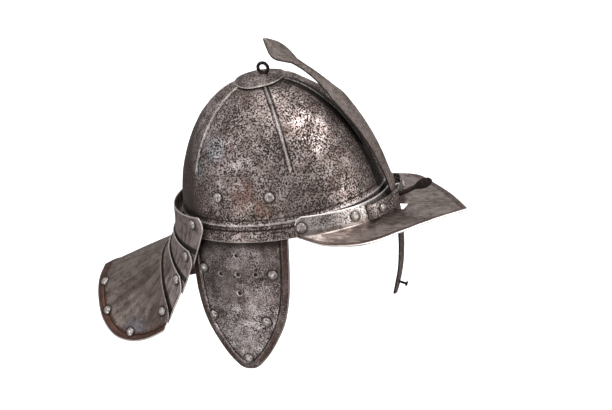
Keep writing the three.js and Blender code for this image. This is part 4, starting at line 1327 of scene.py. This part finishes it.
def peak_steel(seats):
    """The flange is pitted like the skull, the brim smoother, with a rusty turned border."""
    finish = Finish("peak_steel")
    sunk = finish.math("MULTIPLY", finish.math("SUBTRACT", finish.along("X"), PEAK_LEVEL_X), PEAK_PITCH)
    flange = finish.mask(finish.math("ADD", finish.along("Z"), sunk), 1.0, 5.0)
    tone = finish.grain(15, 5, 0.6, shift=2.0)
    bright = finish.blend(finish.mask(tone, 0.3, 0.6), *FLANGE_TONES)
    pitted, pits = speckle(finish, 0.06, 1.4, bright)
    lines = finish.grain(1.3, 4, 0.7, stretch=(9, 3, 9), shift=6.0)
    broad = finish.grain(22, 4, 0.6, shift=1.0)
    brim = finish.blend(finish.mask(finish.mix(0.4, lines, broad), 0.4, 0.6), *BRIM_TONES)
    stain = finish.mask(finish.grain(7, 5, 0.66, shift=3.0), 0.5, 0.68)
    colour = finish.blend(flange, finish.lay(brim, stain, 0.55, BRIM_STAIN), pitted)
    band = finish.mask(finish.ragged_border(3.5, 0.35), 0.6, 0.72)
    band = finish.math("MULTIPLY", band, finish.math("SUBTRACT", 1.0, flange))
    colour = finish.lay(colour, band, 0.75, BRIM_RUST)
    colour = age(finish, colour, seats, 0.75, 0.9, grime_and_shade_full=-0.2)
    flange_pits = finish.math("MULTIPLY", pits, flange)
    rough = finish.mix(flange_pits, finish.mask(stain, 0, 1, 0.34, 0.55), 0.8)
    skin = finish.math("MULTIPLY", finish.math("ADD", lines, tone), 0.5)
    height = finish.math("SUBTRACT", skin, flange_pits)
    return finish.close(colour, rough, finish.mask(flange_pits, 0, 1, 0.95, 0.4), height, 0.16)


def dark_iron():
    """Blackened iron with a forged skin and reddish-brown rubbed places."""
    finish = Finish("dark_iron")
    skin = finish.grain(3.5, 5, 0.7)
    worn = finish.mask(finish.grain(8, 4, 0.6, shift=3.0), 0.47, 0.62)
    colour = finish.blend(finish.mask(skin, 0.35, 0.7), *IRON_TONES)
    colour = finish.lay(colour, worn, 0.6, IRON_WORN)
    return finish.close(colour, finish.mask(skin, 0.3, 0.7, 0.42, 0.75), 0.75, skin, 0.35)


def rivet_steel():
    """Rubbed bright rivet heads with small dark nicks."""
    finish = Finish("rivet_steel")
    skin = finish.grain(2.4, 5, 0.68)
    nicks = finish.mask(finish.grain(0.9, 3, 0.6, shift=5.0), 0.56, 0.68)
    colour = finish.blend(finish.mask(skin, 0.36, 0.64), *RIVET_TONES)
    colour = finish.lay(colour, nicks, 0.8, RIVET_NICK)
    height = finish.math("SUBTRACT", skin, nicks)
    return finish.close(colour, finish.mask(skin, 0.3, 0.7, 0.5, 0.34), 0.95, height, 0.25)


def old_leather():
    """Dark dry leather with a fine grain and creases."""
    finish = Finish("old_leather")
    creases = finish.grain(4, 5, 0.7, stretch=(1, 1, 3))
    tone = finish.grain(20, 4, 0.6, shift=2.0)
    colour = finish.blend(finish.mask(tone, 0.3, 0.7), *LEATHER_TONES)
    colour = finish.blend(finish.mask(creases, 0.5, 0.64), colour, LEATHER_CREASE)
    height = finish.math("SUBTRACT", finish.math("MULTIPLY", finish.cells(1.1), 0.5), creases)
    return finish.close(colour, finish.mask(tone, 0.3, 0.7, 0.6, 0.8), 0.0, height, 0.3)


# Putting the helmet together

def seats_on(rivets, name):
    """The rivets that sit on a piece: where each head is, and its radius."""
    return [(row[1][0], row[2]) for row in rivets if row[0].startswith(name)]


def make_finishes(rivets):
    """Each piece's finish, by the piece's kind."""
    return {
        # Skull: a painted sheen high on its right side towards the rear, painted shade towards the
        # rear, and a painted shadow under the nasal bar
        "skull": pitted_steel(
            "skull_steel", 0.112, 1.65, seats=seats_on(rivets, "skull_rivet"), tones=SKULL_TONES,
            rust_spots=[((-6, -84, 46), 18), ((14, -88, 31), 12)],
            painted_sheen_spots=[((-36, -63, 88), 20), ((-58, -60, 68), 12)],
            painted_shades=[("X", -52, -74, 0.88, PAINTED_SHADE_BROWN)], painted_bar_shadow=True),
        # Cap: painted shade towards the rear
        "cap": pitted_steel(
            "cap_steel", 0.1, painted_shades=[("X", 2, -22, 0.6, PAINTED_SHADE_BROWN)], tones=SKULL_TONES, edge_bright=0.4),
        "peak": peak_steel(seats_on(rivets, "peak_rivet")),
        "bracket": pitted_steel("bracket_steel", 0.12, seats=seats_on(rivets, "bracket_rivet")),
        "bar": brushed_steel("bar_steel", BAR_TONES, 0.13, streak=(2, 1, 2)),
        "lame": brushed_steel("lame_steel", LAME_TONES, 0.04, fan=(38, 1.2), edge_bright=0.5,
                              seats=seats_on(rivets, "lame_rivet")),
        # Tail: a painted highlight near its top on the right, and a blue-black patch lower down
        "tail": brushed_steel(
            "tail_steel", TAIL_TONES, 0.03, fan=(24, 1.1), rust_edge=0.85, rust_from=0.25,
            seats=seats_on(rivets, "tail_rivet"),
            patches_and_highlights=[((-132, -60, -26), 20, (0.62, 0.56, 0.53)),
                   ((-160, -84, -96), 22, (0.13, 0.135, 0.16))]),
        # Cheek: painted shade over its upper part, and a painted shadow under the rim along its top
        "cheek": pitted_steel(
            "cheek_steel", 0.1, size=1.15, seats=seats_on(rivets, "cheek_rivet"), tones=CHEEK_TONES,
            painted_shades=[("Z", -98, -40, 0.62, PAINTED_SHADE_BROWN), ("Z", -16, -5, 0.85, PIT_AND_SHADOW_BLACK)], dark_border=0.6),
        "leather": old_leather(),
        "iron": dark_iron(),
        "rivet": rivet_steel(),
    }


def dress_helmet():
    rivets = rivet_rows()
    finish = make_finishes(rivets)
    dress(build_skull(), "skull", finish["skull"])
    dress(build_cap(), "crown_cap", finish["cap"])
    dress(build_eye(), "hanging_eye", finish["iron"])
    dress(build_peak(), "peak", finish["peak"])
    dress(build_bracket(), "nasal_bracket", finish["bracket"])
    dress(build_bar(), "nasal_bar", finish["bar"], "nasal")
    dress(build_pin(), "stop_pin", finish["iron"], "nasal")
    dress(build_screw(), "wing_screw", finish["iron"], "screw")
    for row in LAMES:
        dress(build_lame(row), row["node"], finish["lame"])
    dress(build_tail(), "tail_plate", finish["tail"])
    dress(build_cheek(), "cheek_piece", finish["cheek"])
    dress(build_hanger(), "cheek_hanger", finish["leather"])
    for at, (node, seat, head, grip) in enumerate(rivets):
        dress(build_rivet(node, seat, head, grip, at), node, finish["rivet"])


# Floor, light and camera

def build_floor():
    """A plain pale floor well below the helmet, which is held up as a head holds it."""
    size = 14000
    drop = -620
    corners = [Vector((x * size, y * size, drop)) for x, y in ((-1, -1), (1, -1), (1, 1), (-1, 1))]
    floor = new_piece("floor", corners, [(0, 1, 2, 3)])
    material = bpy.data.materials.new("floor_white")
    material.use_nodes = True
    shader = material.node_tree.nodes["Principled BSDF"]
    shader.inputs["Base Color"].default_value = (0.93, 0.93, 0.93, 1)
    shader.inputs["Roughness"].default_value = 0.9
    shader.inputs["Emission Color"].default_value = (1, 1, 1, 1)
    shader.inputs["Emission Strength"].default_value = 0.75
    floor.data.materials.append(material)
    floor.visible_glossy = False
    floor.visible_diffuse = False


def view_turn():
    """The camera's axes in the helmet's frame; the helmet leans back in the photograph."""
    look = (Matrix.Rotation(math.radians(VIEW_AZIMUTH), 3, "Z")
            @ Matrix.Rotation(math.radians(90 - VIEW_ELEVATION), 3, "X"))
    return Matrix.Rotation(math.radians(HELMET_LEAN), 3, "Y") @ look


def build_camera():
    turn = view_turn()
    distance = PHOTO_WIDTH * CAMERA_LENS / SENSOR_WIDTH
    across = PHOTO_WIDTH / 2 - ORIGIN_PIXEL[0]
    up = ORIGIN_PIXEL[1] - PHOTO_HEIGHT / 2
    place = turn @ Vector((across, up, distance)) * MM
    data = bpy.data.cameras.new("photo_camera")
    data.lens = CAMERA_LENS
    data.sensor_width = SENSOR_WIDTH
    camera = bpy.data.objects.new("photo_camera", data)
    camera.matrix_world = Matrix.Translation(place) @ turn.to_4x4()
    bpy.context.scene.collection.objects.link(camera)
    bpy.context.scene.camera = camera


def softbox(name, place, size, power, tint=(1, 1, 1)):
    """A soft light at a place given along the photograph's right, up and towards-camera axes."""
    data = bpy.data.lights.new(name, "AREA")
    data.shape = "RECTANGLE"
    data.size, data.size_y = size
    data.energy = power
    data.color = tint
    light = bpy.data.objects.new(name, data)
    light.location = view_turn() @ Vector(place)
    light.rotation_euler = light.location.to_track_quat("Z", "Y").to_euler()
    light.visible_camera = False
    bpy.context.scene.collection.objects.link(light)


def build_lights():
    softbox("key", (0.85, 1.25, 1.35), (1.0, 0.9), 22)
    softbox("above", (-0.3, 1.8, 0.9), (1.2, 0.8), 8)
    softbox("left", (-1.75, 0.3, 0.9), (0.6, 1.2), 8, (0.88, 0.93, 1))
    softbox("right", (1.8, -0.3, 0.9), (0.8, 1.0), 12, (1, 0.97, 0.94))
    softbox("table", (-0.95, -1.05, 0.8), (1.2, 0.8), 7, (1, 0.98, 0.97))
    world = bpy.data.worlds.new("studio")
    world.use_nodes = True
    nodes = world.node_tree.nodes
    links = world.node_tree.links
    coordinates = nodes.new("ShaderNodeTexCoord")
    parts = nodes.new("ShaderNodeSeparateXYZ")
    ramp = nodes.new("ShaderNodeValToRGB")
    links.new(coordinates.outputs["Generated"], parts.inputs[0])
    height = nodes.new("ShaderNodeMapRange")
    height.inputs["From Min"].default_value = -1
    links.new(parts.outputs["Z"], height.inputs["Value"])
    links.new(height.outputs["Result"], ramp.inputs["Fac"])
    ramp.color_ramp.elements[0].color = (0.3, 0.285, 0.28, 1)
    ramp.color_ramp.elements[1].color = (1.0, 1.0, 1.0, 1)
    middle = ramp.color_ramp.elements.new(0.5)
    middle.color = (0.36, 0.345, 0.34, 1)
    links.new(ramp.outputs["Color"], nodes["Background"].inputs["Color"])
    nodes["Background"].inputs["Strength"].default_value = 0.9
    bpy.context.scene.world = world
    bpy.context.scene.view_settings.view_transform = "Standard"


build_camera()
dress_helmet()
build_floor()
build_lights()
